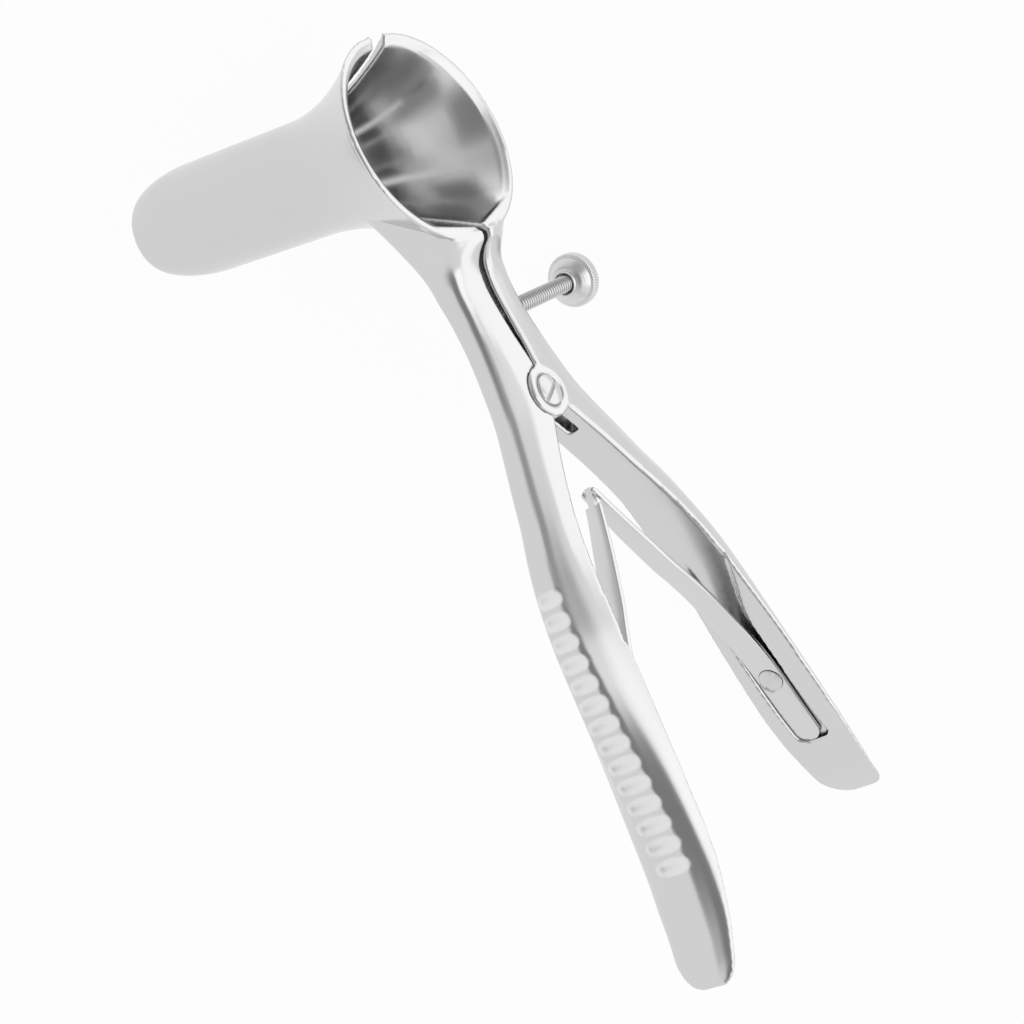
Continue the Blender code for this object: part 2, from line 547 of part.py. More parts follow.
def set_screw():
    """Threaded rod of the set screw, with a rounded tip."""
    tip = screw_tip()
    end = KNOB_FACE + KNOB_THICKNESS - KNOB_END_WALL - GAP
    profile = [(tip, 0.0), (tip, SCREW_RADIUS - 0.8 * MM), (tip + 0.35 * MM, SCREW_RADIUS - 0.2 * MM),
               (tip + 0.8 * MM, SCREW_RADIUS), (end, SCREW_RADIUS), (end, 0.0)]
    body = turned("rod", profile, 32)
    body.data.transform(Matrix.Translation((0, SCREW_Y, SCREW_HEIGHT)))
    return finish(body, "set_screw", steel_bright, Vector((tip, SCREW_Y, SCREW_HEIGHT)))


def set_knob():
    """Knurled knob: boss and domed inner face towards the neck, flat outer face."""
    outer = KNOB_FACE + KNOB_THICKNESS
    bore = SCREW_RADIUS + RUN_GAP
    boss = KNOB_FACE - KNOB_DOME - KNOB_BOSS_LENGTH
    profile = [(outer - KNOB_END_WALL, 0.0), (outer - KNOB_END_WALL, bore), (boss, bore), (boss, KNOB_BOSS_RADIUS),
               (KNOB_FACE - KNOB_DOME, KNOB_BOSS_RADIUS + 0.15 * MM)]
    for share in (0.3, 0.6, 0.85):
        radius = KNOB_BOSS_RADIUS + (KNOB_RADIUS - 0.5 * MM - KNOB_BOSS_RADIUS) * share
        profile.append((KNOB_FACE - KNOB_DOME * math.cos(share * math.pi / 2) ** 0.9, radius))
    profile += [(KNOB_FACE, KNOB_RADIUS - 0.35 * MM), (KNOB_FACE + 0.25 * MM, KNOB_RADIUS),
                (outer - 0.3 * MM, KNOB_RADIUS), (outer, KNOB_RADIUS - 0.3 * MM), (outer, 0.0)]
    body = turned("knob", profile, 2 * KNURL_COUNT)
    for vertex in body.data.vertices:
        radius = math.hypot(vertex.co.y, vertex.co.z)
        column = round(math.atan2(vertex.co.z, vertex.co.y) / (math.pi / KNURL_COUNT))
        if radius > KNOB_RADIUS - 0.1 * MM and column % 2:
            vertex.co.y *= 1 - KNURL_DEPTH / radius
            vertex.co.z *= 1 - KNURL_DEPTH / radius
    body.data.transform(Matrix.Translation((0, SCREW_Y, SCREW_HEIGHT)))
    return finish(body, "set_knob", steel_satin, Vector((KNOB_FACE, SCREW_Y, SCREW_HEIGHT)))


def steel(name, colour, roughness):
    material = bpy.data.materials.new(name)
    material.use_nodes = True
    shader = material.node_tree.nodes["Principled BSDF"]
    shader.inputs["Base Color"].default_value = (*colour, 1.0)
    shader.inputs["Roughness"].default_value = roughness
    shader.inputs["Metallic"].default_value = 1.0
    return material


def finish(obj, name, material, origin):
    """Name the piece, put its origin on its joint's axis and move it to the instrument's collection."""
    obj.name = obj.data.name = name
    obj.data.transform(Matrix.Translation(-origin))
    obj.location = origin
    obj.data.materials.clear()
    obj.data.materials.append(material.copy())
    obj.data.materials[0].name = name + "_steel"
    bm = bmesh.new()
    bm.from_mesh(obj.data)
    bmesh.ops.remove_doubles(bm, verts=bm.verts, dist=1e-6)
    bmesh.ops.dissolve_degenerate(bm, edges=bm.edges, dist=1e-6)
    bm.to_mesh(obj.data)
    bm.free()
    obj.data.shade_smooth()
    obj.data.set_sharp_from_angle(angle=math.radians(32))
    work.objects.unlink(obj)
    parts.objects.link(obj)
    return obj


def world_points(objects):
    """All corner points of the pieces, and the volume centroid of the whole, in the design frame."""
    points, volume, moment = [], 0.0, np.zeros(3)
    for obj in objects:
        mesh = obj.data
        mesh.calc_loop_triangles()
        co = np.array([obj.matrix_world @ v.co for v in mesh.vertices])
        tri = co[np.array([t.vertices[:] for t in mesh.loop_triangles])]
        six = np.einsum("ij,ij->i", tri[:, 0], np.cross(tri[:, 1], tri[:, 2]))
        volume += six.sum()
        moment += (six[:, None] * tri.sum(axis=1) / 4).sum(axis=0)
        points.append(co)
    return np.vstack(points), moment / volume


def resting_turn(objects):
    """Rotation that lays the instrument on its right side, on the three points it comes to rest on."""
    points, centre = world_points(objects)
    bm = bmesh.new()
    for point in points:
        bm.verts.new(point)
    hull = bmesh.ops.convex_hull(bm, input=bm.verts)
    best, best_turn = -1.0, None
    for face in [f for f in hull["geom"] if isinstance(f, bmesh.types.BMFace)]:
        normal = face.normal
        if normal.dot(face.verts[0].co - Vector(centre)) < 0:
            normal = -normal
        a, b, c = [v.co for v in face.verts[:3]]
        foot = Vector(centre) + normal * normal.dot(a - Vector(centre))
        inside = all((q - p).cross(foot - p).dot((b - a).cross(c - a)) >= 0 for p, q in ((a, b), (b, c), (c, a)))
        if inside and normal.x > best:
            best, best_turn = normal.x, normal.rotation_difference(Vector((0, 0, -1)))
    bm.free()
    turn = best_turn.to_matrix()
    along = turn @ Vector((0, 0, 1))
    return Matrix.Rotation(-math.atan2(along.y, along.x), 3, "Z") @ turn


for old in list(bpy.data.objects):
    bpy.data.objects.remove(old)
work = bpy.data.collections.new("tools")
parts = bpy.data.collections.new("anal_speculum")
bpy.context.scene.collection.children.link(work)
bpy.context.scene.collection.children.link(parts)

steel_forged = steel("forged_steel", (0.78, 0.78, 0.78), 0.22)
steel_bright = steel("bright_steel", (0.74, 0.74, 0.74), 0.18)
steel_satin = steel("satin_steel", (0.70, 0.70, 0.69), 0.30)
steel_spring = steel("spring_steel", (0.80, 0.80, 0.80), 0.25)

right_half = half("right_half", 1)
left_half = half("left_half", -1)
right_pieces = [leaf("right_spring", 1), spring_screw("right_spring_screw", 1), set_screw(), set_knob()]
left_pieces = [leaf("left_spring", -1), spring_screw("left_spring_screw", -1), pivot_screw()]

resting = bpy.data.objects.new("resting", None)
parts.objects.link(resting)
for carrier, pieces, turn in ((right_half, right_pieces, 1), (left_half, left_pieces, -1)):
    carrier.parent = resting
    carrier.rotation_euler.y = turn * REST_OPENING / 2
    for piece in pieces:
        piece.parent = carrier
bpy.context.view_layer.update()

everything = [right_half, left_half, *right_pieces, *left_pieces]
turn = resting_turn(everything)
points, _ = world_points(everything)
laid = points @ np.array(turn).T
low, high = laid.min(axis=0), laid.max(axis=0)
middle = (low + high) / 2
resting.matrix_world = Matrix.Translation((-middle[0], -middle[1], -low[2])) @ turn.to_4x4()
bpy.data.collections.remove(work)
bpy.context.view_layer.update()
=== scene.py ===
# Anal speculum lying on its right side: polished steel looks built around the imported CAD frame.
import json
import math

import bmesh
import bpy
import numpy as np
from mathutils import Matrix, Vector


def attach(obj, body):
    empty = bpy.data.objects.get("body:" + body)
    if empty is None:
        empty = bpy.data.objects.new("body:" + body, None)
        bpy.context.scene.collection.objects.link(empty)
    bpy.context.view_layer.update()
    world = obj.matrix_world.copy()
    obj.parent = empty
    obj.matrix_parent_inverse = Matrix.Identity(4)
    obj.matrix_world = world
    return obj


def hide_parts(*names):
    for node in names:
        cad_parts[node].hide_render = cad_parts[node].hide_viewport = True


mm = 0.001
weldDistance = 1e-7   # closes the seams of swept and turned shapes
pieceWeld = 2e-6      # clears the slivers that the cuts leave
sharpAngle = 48       # degrees, for the machined pieces

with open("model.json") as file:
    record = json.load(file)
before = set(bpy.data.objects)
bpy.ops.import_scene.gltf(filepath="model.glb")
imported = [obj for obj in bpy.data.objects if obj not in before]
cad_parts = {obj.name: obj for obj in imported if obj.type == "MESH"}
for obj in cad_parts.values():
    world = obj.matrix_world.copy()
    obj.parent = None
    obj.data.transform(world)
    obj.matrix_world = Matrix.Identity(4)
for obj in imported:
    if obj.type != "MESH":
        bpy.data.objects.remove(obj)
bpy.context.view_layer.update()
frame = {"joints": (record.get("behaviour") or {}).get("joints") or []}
joints = {joint["name"]: joint for joint in frame["joints"]}

# The right half's own frame: X across, Y to the blade tips, Z up, its origin in the pivot
acrossAxis = Vector(joints["screw_travel"]["axis"]).normalized()
tipAxis = -Vector(joints["blades_open"]["axis"]).normalized()
upAxis = acrossAxis.cross(tipAxis)
pivotPlace = Vector(joints["blades_open"]["pos_m"])
restOpening = -math.radians(joints["blades_open"]["range_deg"][0])
rightFrame = Matrix.Translation(pivotPlace) @ Matrix((acrossAxis, tipAxis, upAxis)).transposed().to_4x4()
leftFrame = rightFrame @ Matrix.Rotation(-restOpening, 4, "Y")
mirrorX = Matrix.Diagonal((-1, 1, 1, 1))


# curves and small tools

def smoothCurve(points, at):
    # monotone cubic through (height, value) points in millimetres
    pts = sorted(points)
    x = [p[0] for p in pts]
    y = [p[1] for p in pts]
    at = min(max(at / mm, x[0]), x[-1])
    i = 0
    while i < len(x) - 2 and at > x[i + 1]:
        i += 1
    slope = [(y[k + 1] - y[k]) / (x[k + 1] - x[k]) for k in range(len(x) - 1)]

    def tangent(k):
        if k == 0:
            return slope[0]
        if k == len(x) - 1:
            return slope[-1]
        if slope[k - 1] * slope[k] <= 0:
            return 0.0
        a, b = x[k] - x[k - 1], x[k + 1] - x[k]
        return 3 * (a + b) / ((2 * b + a) / slope[k - 1] + (b + 2 * a) / slope[k])

    h = x[i + 1] - x[i]
    t = (at - x[i]) / h
    value = ((1 + 2 * t) * (1 - t) ** 2 * y[i] + t * (1 - t) ** 2 * h * tangent(i)
             + t * t * (3 - 2 * t) * y[i + 1] + t * t * (t - 1) * h * tangent(i + 1))
    return value * mm


def fade(value, low, high):
    # smooth step from 0 at low to 1 at high
    share = min(1.0, max(0.0, (value - low) / (high - low)))
    return share * share * (3 - 2 * share)


def roundedOutline(corners, radii, steps):
    # a polygon with each corner rounded, as far as its sides leave room
    outline = []
    for i, corner in enumerate(corners):
        here = Vector(corner)
        back = Vector(corners[i - 1]) - here
        on = Vector(corners[(i + 1) % len(corners)]) - here
        half = back.angle(on) / 2
        reach = min(radii[i] / math.tan(half), 0.45 * back.length, 0.45 * on.length)
        radius = reach * math.tan(half)
        middle = here + (back.normalized() + on.normalized()).normalized() * (radius / math.sin(half))
        a = here + back.normalized() * reach - middle
        b = here + on.normalized() * reach - middle
        sweep = a.angle(b)
        for k in range(steps + 1):
            t = k / steps
            point = middle + (a * math.sin((1 - t) * sweep) + b * math.sin(t * sweep)) / math.sin(sweep)
            outline.append((point.x, point.y))
    return outline


def cornerDraw(distance, radius):
    # how far a rounded corner draws in at this distance from the end
    into = min(1.0, max(0.0, 1 - distance / radius))
    return radius * (1 - math.sqrt(max(0.0, 1 - 0.998 * into ** 2)))


def toObject(name, bm):
    mesh = bpy.data.meshes.new(name)
    bm.to_mesh(mesh)
    bm.free()
    obj = bpy.data.objects.new(name, mesh)
    bpy.context.scene.collection.objects.link(obj)
    return obj


def tubeOf(name, sections):
    # a grid rolled into a tube: each row of it takes the place of one section, and the ends are filled
    count = len(sections[0])
    bm = bmesh.new()
    bmesh.ops.create_grid(bm, x_segments=count, y_segments=len(sections) - 1, size=1.0)
    for vert in bm.verts:
        column = round((vert.co.x + 1) / 2 * count)
        row = round((vert.co.y + 1) / 2 * (len(sections) - 1))
        vert.co = sections[row][column % count]
    bmesh.ops.remove_doubles(bm, verts=bm.verts, dist=weldDistance)
    bmesh.ops.holes_fill(bm, edges=bm.edges, sides=0)
    bmesh.ops.recalc_face_normals(bm, faces=bm.faces)
    return toObject(name, bm)


def rod(name, radius, start, end, segments=64, endRadius=None):
    start, end = Vector(start), Vector(end)
    axis = end - start
    bm = bmesh.new()
    bmesh.ops.create_cone(bm, cap_ends=True, segments=segments, radius1=radius,
                          radius2=radius if endRadius is None else endRadius, depth=axis.length)
    turn = Vector((0, 0, 1)).rotation_difference(axis).to_matrix().to_4x4()
    bmesh.ops.transform(bm, matrix=Matrix.Translation((start + end) / 2) @ turn, verts=bm.verts)
    return toObject(name, bm)


def block(name, size, centre, turn=None):
    bm = bmesh.new()
    bmesh.ops.create_cube(bm, size=1.0)
    bmesh.ops.scale(bm, vec=size, verts=bm.verts)
    if turn is not None:
        bmesh.ops.transform(bm, matrix=turn.to_4x4(), verts=bm.verts)
    bmesh.ops.translate(bm, vec=centre, verts=bm.verts)
    return toObject(name, bm)


def turned(name, profile, steps):
    # profile of (x, radius) turned about the X axis
    bm = bmesh.new()
    verts = [bm.verts.new((x, 0.0, r)) for x, r in profile]
    edges = [bm.edges.new(pair) for pair in zip(verts, verts[1:])]
    bmesh.ops.spin(bm, geom=verts + edges, axis=(1, 0, 0), cent=(0, 0, 0), steps=steps,
                   angle=2 * math.pi, use_merge=True)
    bmesh.ops.remove_doubles(bm, verts=bm.verts, dist=weldDistance)
    bmesh.ops.recalc_face_normals(bm, faces=bm.faces)
    return toObject(name, bm)


def applyModifiers(obj):
    shape = bpy.data.meshes.new_from_object(obj.evaluated_get(bpy.context.evaluated_depsgraph_get()))
    obj.modifiers.clear()
    obj.data = shape


def combine(target, tool, operation):
    modifier = target.modifiers.new(operation.lower(), "BOOLEAN")
    modifier.operation = operation
    modifier.solver = "EXACT"
    modifier.object = tool
    applyModifiers(target)
    bpy.data.objects.remove(tool)


def softenEdges(obj, width, segments=2, angle=30):
    bevel = obj.modifiers.new("softEdges", "BEVEL")
    bevel.width = width
    bevel.segments = segments
    bevel.limit_method = "ANGLE"
    bevel.angle_limit = math.radians(angle)
    applyModifiers(obj)


def finishPiece(obj, name, place, body, node, material, mirrored=False):
    # put the finished mesh in its place in the frame, and say what it stands for
    bm = bmesh.new()
    bm.from_mesh(obj.data)
    bmesh.ops.remove_doubles(bm, verts=bm.verts, dist=pieceWeld)
    bmesh.ops.transform(bm, matrix=place @ mirrorX if mirrored else place, verts=bm.verts)
    if mirrored:
        bmesh.ops.reverse_faces(bm, faces=bm.faces)
    bm.to_mesh(obj.data)
    bm.free()
    obj.name = obj.data.name = name
    obj.data.materials.clear()
    obj.data.materials.append(material)
    obj.data.shade_smooth()
    # the forgings, which carry the ground layer, have no sharp edges
    if not obj.data.attributes.get("ground"):
        obj.data.set_sharp_from_angle(angle=math.radians(sharpAngle))
    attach(obj, body)
    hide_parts(node)
    return obj


# steel finishes

def makePolishGroup():
    # faint cloudy wear and fine polishing lines: a roughness and a bump height
    group = bpy.data.node_groups.new("steelPolish", "ShaderNodeTree")
    group.interface.new_socket("Roughness", in_out="INPUT", socket_type="NodeSocketFloat").default_value = 0.25
    group.interface.new_socket("Cloud Size", in_out="INPUT", socket_type="NodeSocketFloat").default_value = 60.0
    stretchSocket = group.interface.new_socket("Line Stretch", in_out="INPUT", socket_type="NodeSocketVector")
    stretchSocket.default_value = (1, 1, 1)
    group.interface.new_socket("Roughness", in_out="OUTPUT", socket_type="NodeSocketFloat")
    group.interface.new_socket("Height", in_out="OUTPUT", socket_type="NodeSocketFloat")
    nodes, links = group.nodes, group.links
    given = nodes.new("NodeGroupInput")
    result = nodes.new("NodeGroupOutput")
    coords = nodes.new("ShaderNodeTexCoord")
    cloud = nodes.new("ShaderNodeTexNoise")
    cloud.inputs["Detail"].default_value = 3.0
    links.new(coords.outputs["Object"], cloud.inputs["Vector"])
    links.new(given.outputs["Cloud Size"], cloud.inputs["Scale"])
    stretch = nodes.new("ShaderNodeVectorMath")
    stretch.operation = "MULTIPLY"
    links.new(coords.outputs["Object"], stretch.inputs[0])
    links.new(given.outputs["Line Stretch"], stretch.inputs[1])
    lines = nodes.new("ShaderNodeTexNoise")
    lines.inputs["Scale"].default_value = 1.0
    lines.inputs["Detail"].default_value = 4.0
    links.new(stretch.outputs[0], lines.inputs["Vector"])
    spread = nodes.new("ShaderNodeMapRange")
    spread.inputs["From Min"].default_value = 0.35
    spread.inputs["From Max"].default_value = 0.65
    spread.inputs["To Min"].default_value = 0.85
    spread.inputs["To Max"].default_value = 1.18
    links.new(cloud.outputs["Fac"], spread.inputs["Value"])
    scaled = nodes.new("ShaderNodeMath")
    scaled.operation = "MULTIPLY"
    links.new(spread.outputs["Result"], scaled.inputs[0])
    links.new(given.outputs["Roughness"], scaled.inputs[1])
    links.new(scaled.outputs[0], result.inputs["Roughness"])
    links.new(lines.outputs["Fac"], result.inputs["Height"])
    return group


def makeSteel(name, look):
    # markLayer names a vertex attribute where colour and roughness move towards the marked values: the ground finish
    # on the forgings, painted shade in the thread's valleys
    material = bpy.data.materials.new(name)
    material.use_nodes = True
    nodes, links = material.node_tree.nodes, material.node_tree.links
    shader = nodes["Principled BSDF"]
    shader.inputs["Base Color"].default_value = (*look["colour"], 1.0)
    shader.inputs["Metallic"].default_value = 1.0
    polish = nodes.new("ShaderNodeGroup")
    polish.node_tree = steelPolish
    polish.inputs["Roughness"].default_value = look["roughness"]
    polish.inputs["Cloud Size"].default_value = look["cloudSize"]
    polish.inputs["Line Stretch"].default_value = look["lineStretch"]
    links.new(polish.outputs["Roughness"], shader.inputs["Roughness"])
    if "markLayer" in look:
        mark = nodes.new("ShaderNodeAttribute")
        mark.attribute_name = look["markLayer"]
        tint = nodes.new("ShaderNodeMix")
        tint.data_type = "RGBA"
        tint.inputs["A"].default_value = (*look["colour"], 1.0)
        tint.inputs["B"].default_value = (*look["markColour"], 1.0)
        links.new(mark.outputs["Fac"], tint.inputs["Factor"])
        links.new(tint.outputs["Result"], shader.inputs["Base Color"])
        dull = nodes.new("ShaderNodeMix")
        dull.inputs["B"].default_value = look["markRoughness"]
        links.new(mark.outputs["Fac"], dull.inputs["Factor"])
        links.new(polish.outputs["Roughness"], dull.inputs["A"])
        links.new(dull.outputs["Result"], shader.inputs["Roughness"])
    bump = nodes.new("ShaderNodeBump")
    bump.inputs["Strength"].default_value = look["bump"]
    bump.inputs["Distance"].default_value = 0.00002
    links.new(polish.outputs["Height"], bump.inputs["Height"])
    links.new(bump.outputs["Normal"], shader.inputs["Normal"])
    return material


steelPolish = makePolishGroup()
forgedSteel = makeSteel("forgedSteel", {"colour": (0.64, 0.64, 0.64), "roughness": 0.2, "cloudSize": 45.0,
                                        "lineStretch": (90, 2500, 2500), "bump": 0.25,
                                        "markLayer": "ground", "markColour": (0.8, 0.8, 0.8), "markRoughness": 0.4})
springSteel = makeSteel("springSteel", {"colour": (0.66, 0.66, 0.66), "roughness": 0.24, "cloudSize": 80.0,
                                        "lineStretch": (150, 3000, 3000), "bump": 0.1})
turnedSteel = makeSteel("turnedSteel", {"colour": (0.62, 0.62, 0.62), "roughness": 0.2, "cloudSize": 120.0,
                                        "lineStretch": (1500, 1500, 1500), "bump": 0.2})
# the thread steel carries painted shade: a near-black base colour in the thread's valleys stands in for the shade down
# in the grooves
threadSteel = makeSteel("threadSteel", {"colour": (0.62, 0.62, 0.62), "roughness": 0.25, "cloudSize": 120.0,
                                        "lineStretch": (1500, 1500, 1500), "bump": 0.2,
                                        "markLayer": "paintedValleyShade", "markColour": (0.2, 0.2, 0.2), "markRoughness": 0.5})
knobSteel = makeSteel("knobSteel", {"colour": (0.7, 0.7, 0.7), "roughness": 0.33, "cloudSize": 150.0,
                                    "lineStretch": (1800, 1800, 1800), "bump": 0.3})

gap = 0.3 * mm        # between pieces that move on each other
boreGap = 0.1 * mm    # between a screw and its bore
planeGap = 0.15 * mm   # from a blade's edge to the parting plane

# the two forgings

blade = {"tubeRadius": 11.8 * mm, "tubeLength": 72.6 * mm, "tubeTilt": math.radians(13.3), "tubeWall": 1.3 * mm,
         "tipCutTop": 6.5 * mm, "tipCutBottom": 9.0 * mm, "tipCurl": 1.0 * mm, "tipCurlLength": 7.0 * mm,
         "mouthRadius": 21.8 * mm, "mouthCentre": Vector((0, -5.7 * mm, 53.5 * mm)), "mouthTilt": math.radians(1.8),
         "rimWall": 2.0 * mm, "flareLength": 29.0 * mm, "flarePower": 1.75, "steps": 90}

lap = {"lugRadius": 5.5 * mm, "lugFront": 0.05 * mm, "lugGap": 0.1 * mm, "lapPlane": 4.8 * mm, "lugBack": 9.4 * mm,
       "pivotRadius": 2.0 * mm, "headRadius": 3.2 * mm, "headSeat": 0.8 * mm, "pocketTop": -4.6 * mm,
       "pocketBottom": -9.9 * mm, "pocketWidth": 2.3 * mm, "pocketDepth": 5.0 * mm}

handle = {"top": 45.0 * mm, "bottom": -109.3 * mm, "frontRound": 3.2 * mm, "backRound": 6.0 * mm, "endThin": 0.45,
          "innerRound": 0.5 * mm, "outerRound": 2.2 * mm, "crownRound": 9.0 * mm,
          "crownPlace": [(46, .55), (-65, .55), (-88, .66), (-98, .68), (-110, .68)],
          "crownDrop": [(46, .3), (-65, .3), (-88, .3), (-98, .32), (-110, .34)],
          "innerX": [(46, .25), (34, .25), (31, .4), (27, .5), (18, .5), (10, .35), (6.5, .15), (0, .15),
                     (-3, 1.8), (-6.5, 4.2), (-13, 8.5), (-19.6, 12.3), (-27.3, 16.3), (-35, 19.5),
                     (-43.6, 22.1), (-54.5, 24.6), (-65.4, 27.1), (-76.3, 29.3), (-87.2, 31.7),
                     (-98.1, 35.4), (-104, 38.0), (-109.3, 41.5)],
          "outerX": [(46, 10.2), (42, 10.6), (39, 10.9), (36, 10.5), (33, 9.6), (29, 8.6), (22, 8.4),
                     (16.4, 8.9), (10.9, 9.9), (5.5, 11.2), (0, 12.8), (-6.5, 15.6), (-13, 18.7),
                     (-19.6, 21.7), (-27, 25.5), (-35, 28.4), (-43.6, 30.7), (-54.5, 32.2), (-65.4, 33.0),
                     (-76.3, 34.1), (-87.2, 35.7), (-98, 38.1), (-109.3, 42.7)],
          "frontInnerY": [(46, -6.0), (34, -5.9), (31.6, -5.6), (30.2, -4.2), (28.4, -2.1), (26.4, -.8),
                          (24, -.1), (18, .3), (8, .15), (0, .1), (-10, .15), (-20, 0), (-35, -1.2),
                          (-44, -1.8), (-65, -2.1),
                          (-87, -1.5), (-98, -.2), (-104, 1.2), (-109.3, 2.4)],
          "frontOuterY": [(46, -3.0), (42, -3.2), (38, -3.4), (34, -3.6), (31, -2.0), (28, -.1), (24, .9),
                          (16.4, 1.55), (5.5, 2.2), (-6.5, 2.7), (-35, 2.8), (-54.5, 2.6), (-76.3, 2.9),
                          (-98, 5.0), (-109.3, 6.2)],
          "backOuterY": [(46, 10.8), (43, 9.7), (40, 8.4), (37, 7.4), (33, 7.0), (17, 6.95), (0, 7.55),
                         (-18, 8.05), (-30.5, 8.75), (-45.8, 9.25), (-61.7, 10.2), (-77.8, 10.7),
                         (-93, 10.0), (-109.3, 9.4)],
          "backInnerY": [(46, 12.5), (43, 11.2), (40, 10.0), (36, 9.4), (30, 9.3), (0, 9.5), (-10, 9.95),
                         (-24, 10.25), (-36, 11.7), (-53, 13.2), (-65, 14.8), (-78, 16.1), (-88, 16.8),
                         (-98, 17.3), (-109.3, 17.2)],
          "levelStep": 0.8 * mm, "arcSteps": 8}

# flat lip that closes the foot of the mouth between funnel and neck
saddle = {"low": (0.27 * mm, -5.0 * mm, 30.0 * mm), "high": (16.0 * mm, -3.0 * mm, 40.0 * mm), "inset": 0.7 * mm,
          "chordStart": (0.27 * mm, 34.3 * mm), "chordSlope": math.radians(16)}

grip = {"count": 14, "top": -33.0 * mm, "bottom": -87.0 * mm, "depth": 0.6 * mm,
        "radii": (2.0 * mm, 5.9 * mm, 2.0 * mm),   # depthwise, across the handle, along it
        "forward": 0.3 * mm, "markFrom": 20 * mm, "markBeyond": 3 * mm, "markFade": (1.03, 1.16)}

leafSpring = {"thickness": 1.1 * mm, "edgeRound": 0.2 * mm, "endRound": 0.9 * mm, "rootRound": 2.4 * mm,
              "tongueWidth": 1.7 * mm, "tongueLength": 3.9 * mm, "tongueReach": 0.2 * mm, "forkDepth": 3.9 * mm,
              "bend": math.radians(4.2), "step": 0.8 * mm,
              "line": [(0, -21.0), (1.3, -23.5), (2.15, -25.2), (4.2, -29.2), (6.4, -33.2), (8.9, -37.5),
                       (12.0, -42.8), (14.4, -46.2), (16.9, -50.0), (20.3, -55.0), (23.45, -60.0),
                       (26.3, -65.0), (28.45, -70.0), (30.0, -75.0), (31.2, -80.0), (32.35, -85.0),
                       (33.6, -89.5), (34.6, -93.2)],
              "frontY": [(-18, 2.7), (-24, 2.7), (-32, 2.7), (-50, 3.3), (-62, 4.8), (-80, 5.6), (-94, 6.4)],
              "backY": [(-18, 6.5), (-24, 6.5), (-32, 7.3), (-50, 8.5), (-62, 10.7), (-80, 11.8), (-94, 12.1)]}

seat = {"slantFactor": 1.03,   # the leaf's thickness along X, as it leans
        "top": -70.0 * mm, "runOut": -44.0 * mm, "bottom": -93.3 * mm,
        "leafGap": 0.1 * mm, "frontRound": 1.6 * mm,
        "frontY": [(-44, -4.0), (-48, -1.2), (-53, .8), (-58, 2.8), (-63, 3.9), (-76, 4.2), (-94, 4.4)]}

leafScrew = {"height": -76.8 * mm, "radius": 1.3 * mm, "headRadius": 2.6 * mm, "headHeight": 0.8 * mm,
             "headDome": 0.3 * mm, "sinkGap": 0.3 * mm, "shank": 1.4 * mm, "slotWidth": 0.8 * mm,
             "slotDepth": 0.55 * mm, "slotTurn": math.radians(37)}

setScrew = {"height": 18.0 * mm, "y": 5.3 * mm, "radius": 1.8 * mm, "pitch": 0.86 * mm, "threadDepth": 0.33 * mm,
            "perPitch": 12, "perTurn": 48}

knob = {"radius": 5.75 * mm, "face": 33.0 * mm, "thickness": 2.35 * mm, "dome": 2.1 * mm, "bossRadius": 2.6 * mm,
        "bossLength": 0.7 * mm, "endWall": 0.7 * mm, "teeth": 60, "toothDepth": 0.22 * mm,
        "ringPitch": 0.34 * mm, "ringDepth": 0.035 * mm}

pivot = {"headEdge": 0.75 * mm, "headDome": 0.55 * mm, "slotWidth": 0.9 * mm, "slotDepth": 1.0 * mm,
         "slotTurn": math.radians(28), "endChamfer": 0.3 * mm}


def flareRadius(s):
    near = max(0.0, 1 - max(s, 0.0) / blade["flareLength"])
    return blade["tubeRadius"] + (blade["mouthRadius"] - blade["tubeRadius"]) * near ** blade["flarePower"]


def wallAt(s):
    return blade["tubeWall"] + (blade["rimWall"] - blade["tubeWall"]) * max(0.0, 1 - max(s, 0.0) / (10 * mm))


def bladePoint(s, radius, angle):
    # angle 0 is outermost, 90 degrees the top
    share = min(1.0, max(0.0, s / blade["flareLength"]))
    tilt = blade["mouthTilt"] * (1 - share) + blade["tubeTilt"] * share
    axis = Vector((0, math.cos(blade["tubeTilt"]), math.sin(blade["tubeTilt"])))
    up = Vector((0, -math.sin(tilt), math.cos(tilt)))
    return (blade["mouthCentre"] + axis * s + Vector((radius * math.cos(angle), 0, 0))
            + up * radius * math.sin(angle))


def wallOutline():
    # the wall's section: outside from rim to tip, round the tip, then back along the inside
    length, curlLength = blade["tubeLength"], blade["tipCurlLength"]
    stations = [1.2 * mm + (length - curlLength - 1.2 * mm) * (k / 30) ** 1.3 for k in range(31)]
    stations += [length - curlLength * (1 - k / 8) for k in range(1, 8)]
    outer, inner = [], []
    for s in stations:
        curl = max(0.0, (s - (length - curlLength)) / curlLength)
        radius = flareRadius(s) - blade["tipCurl"] * curl ** 2
        slope = (flareRadius(s + 0.1 * mm) - flareRadius(s - 0.1 * mm)) / (0.2 * mm)
        run = math.hypot(1, slope)
        outer.append((s, radius))
        inner.append((s + wallAt(s) * slope / run, radius - wallAt(s) / run))
    tipRadius = blade["tubeRadius"] - blade["tipCurl"] - blade["tubeWall"] / 2
    tip = [(length - blade["tubeWall"] / 2 * (1 - math.sin(a)), tipRadius + blade["tubeWall"] / 2 * math.cos(a))
           for a in (math.pi * k / 6 for k in range(1, 6))]
    mouth = blade["mouthRadius"]
    rim = [(0.55 * mm, mouth - 1.75 * mm), (0.28 * mm, mouth - 1.6 * mm), (0.08 * mm, mouth - 1.3 * mm),
           (0.0, mouth - 1.0 * mm), (0.02 * mm, mouth - 0.7 * mm), (0.15 * mm, mouth - 0.4 * mm),
           (0.5 * mm, mouth - 0.12 * mm)]
    inner = [point for point in inner if point[0] > 0.9 * mm]
    return outer + tip + inner[::-1] + rim


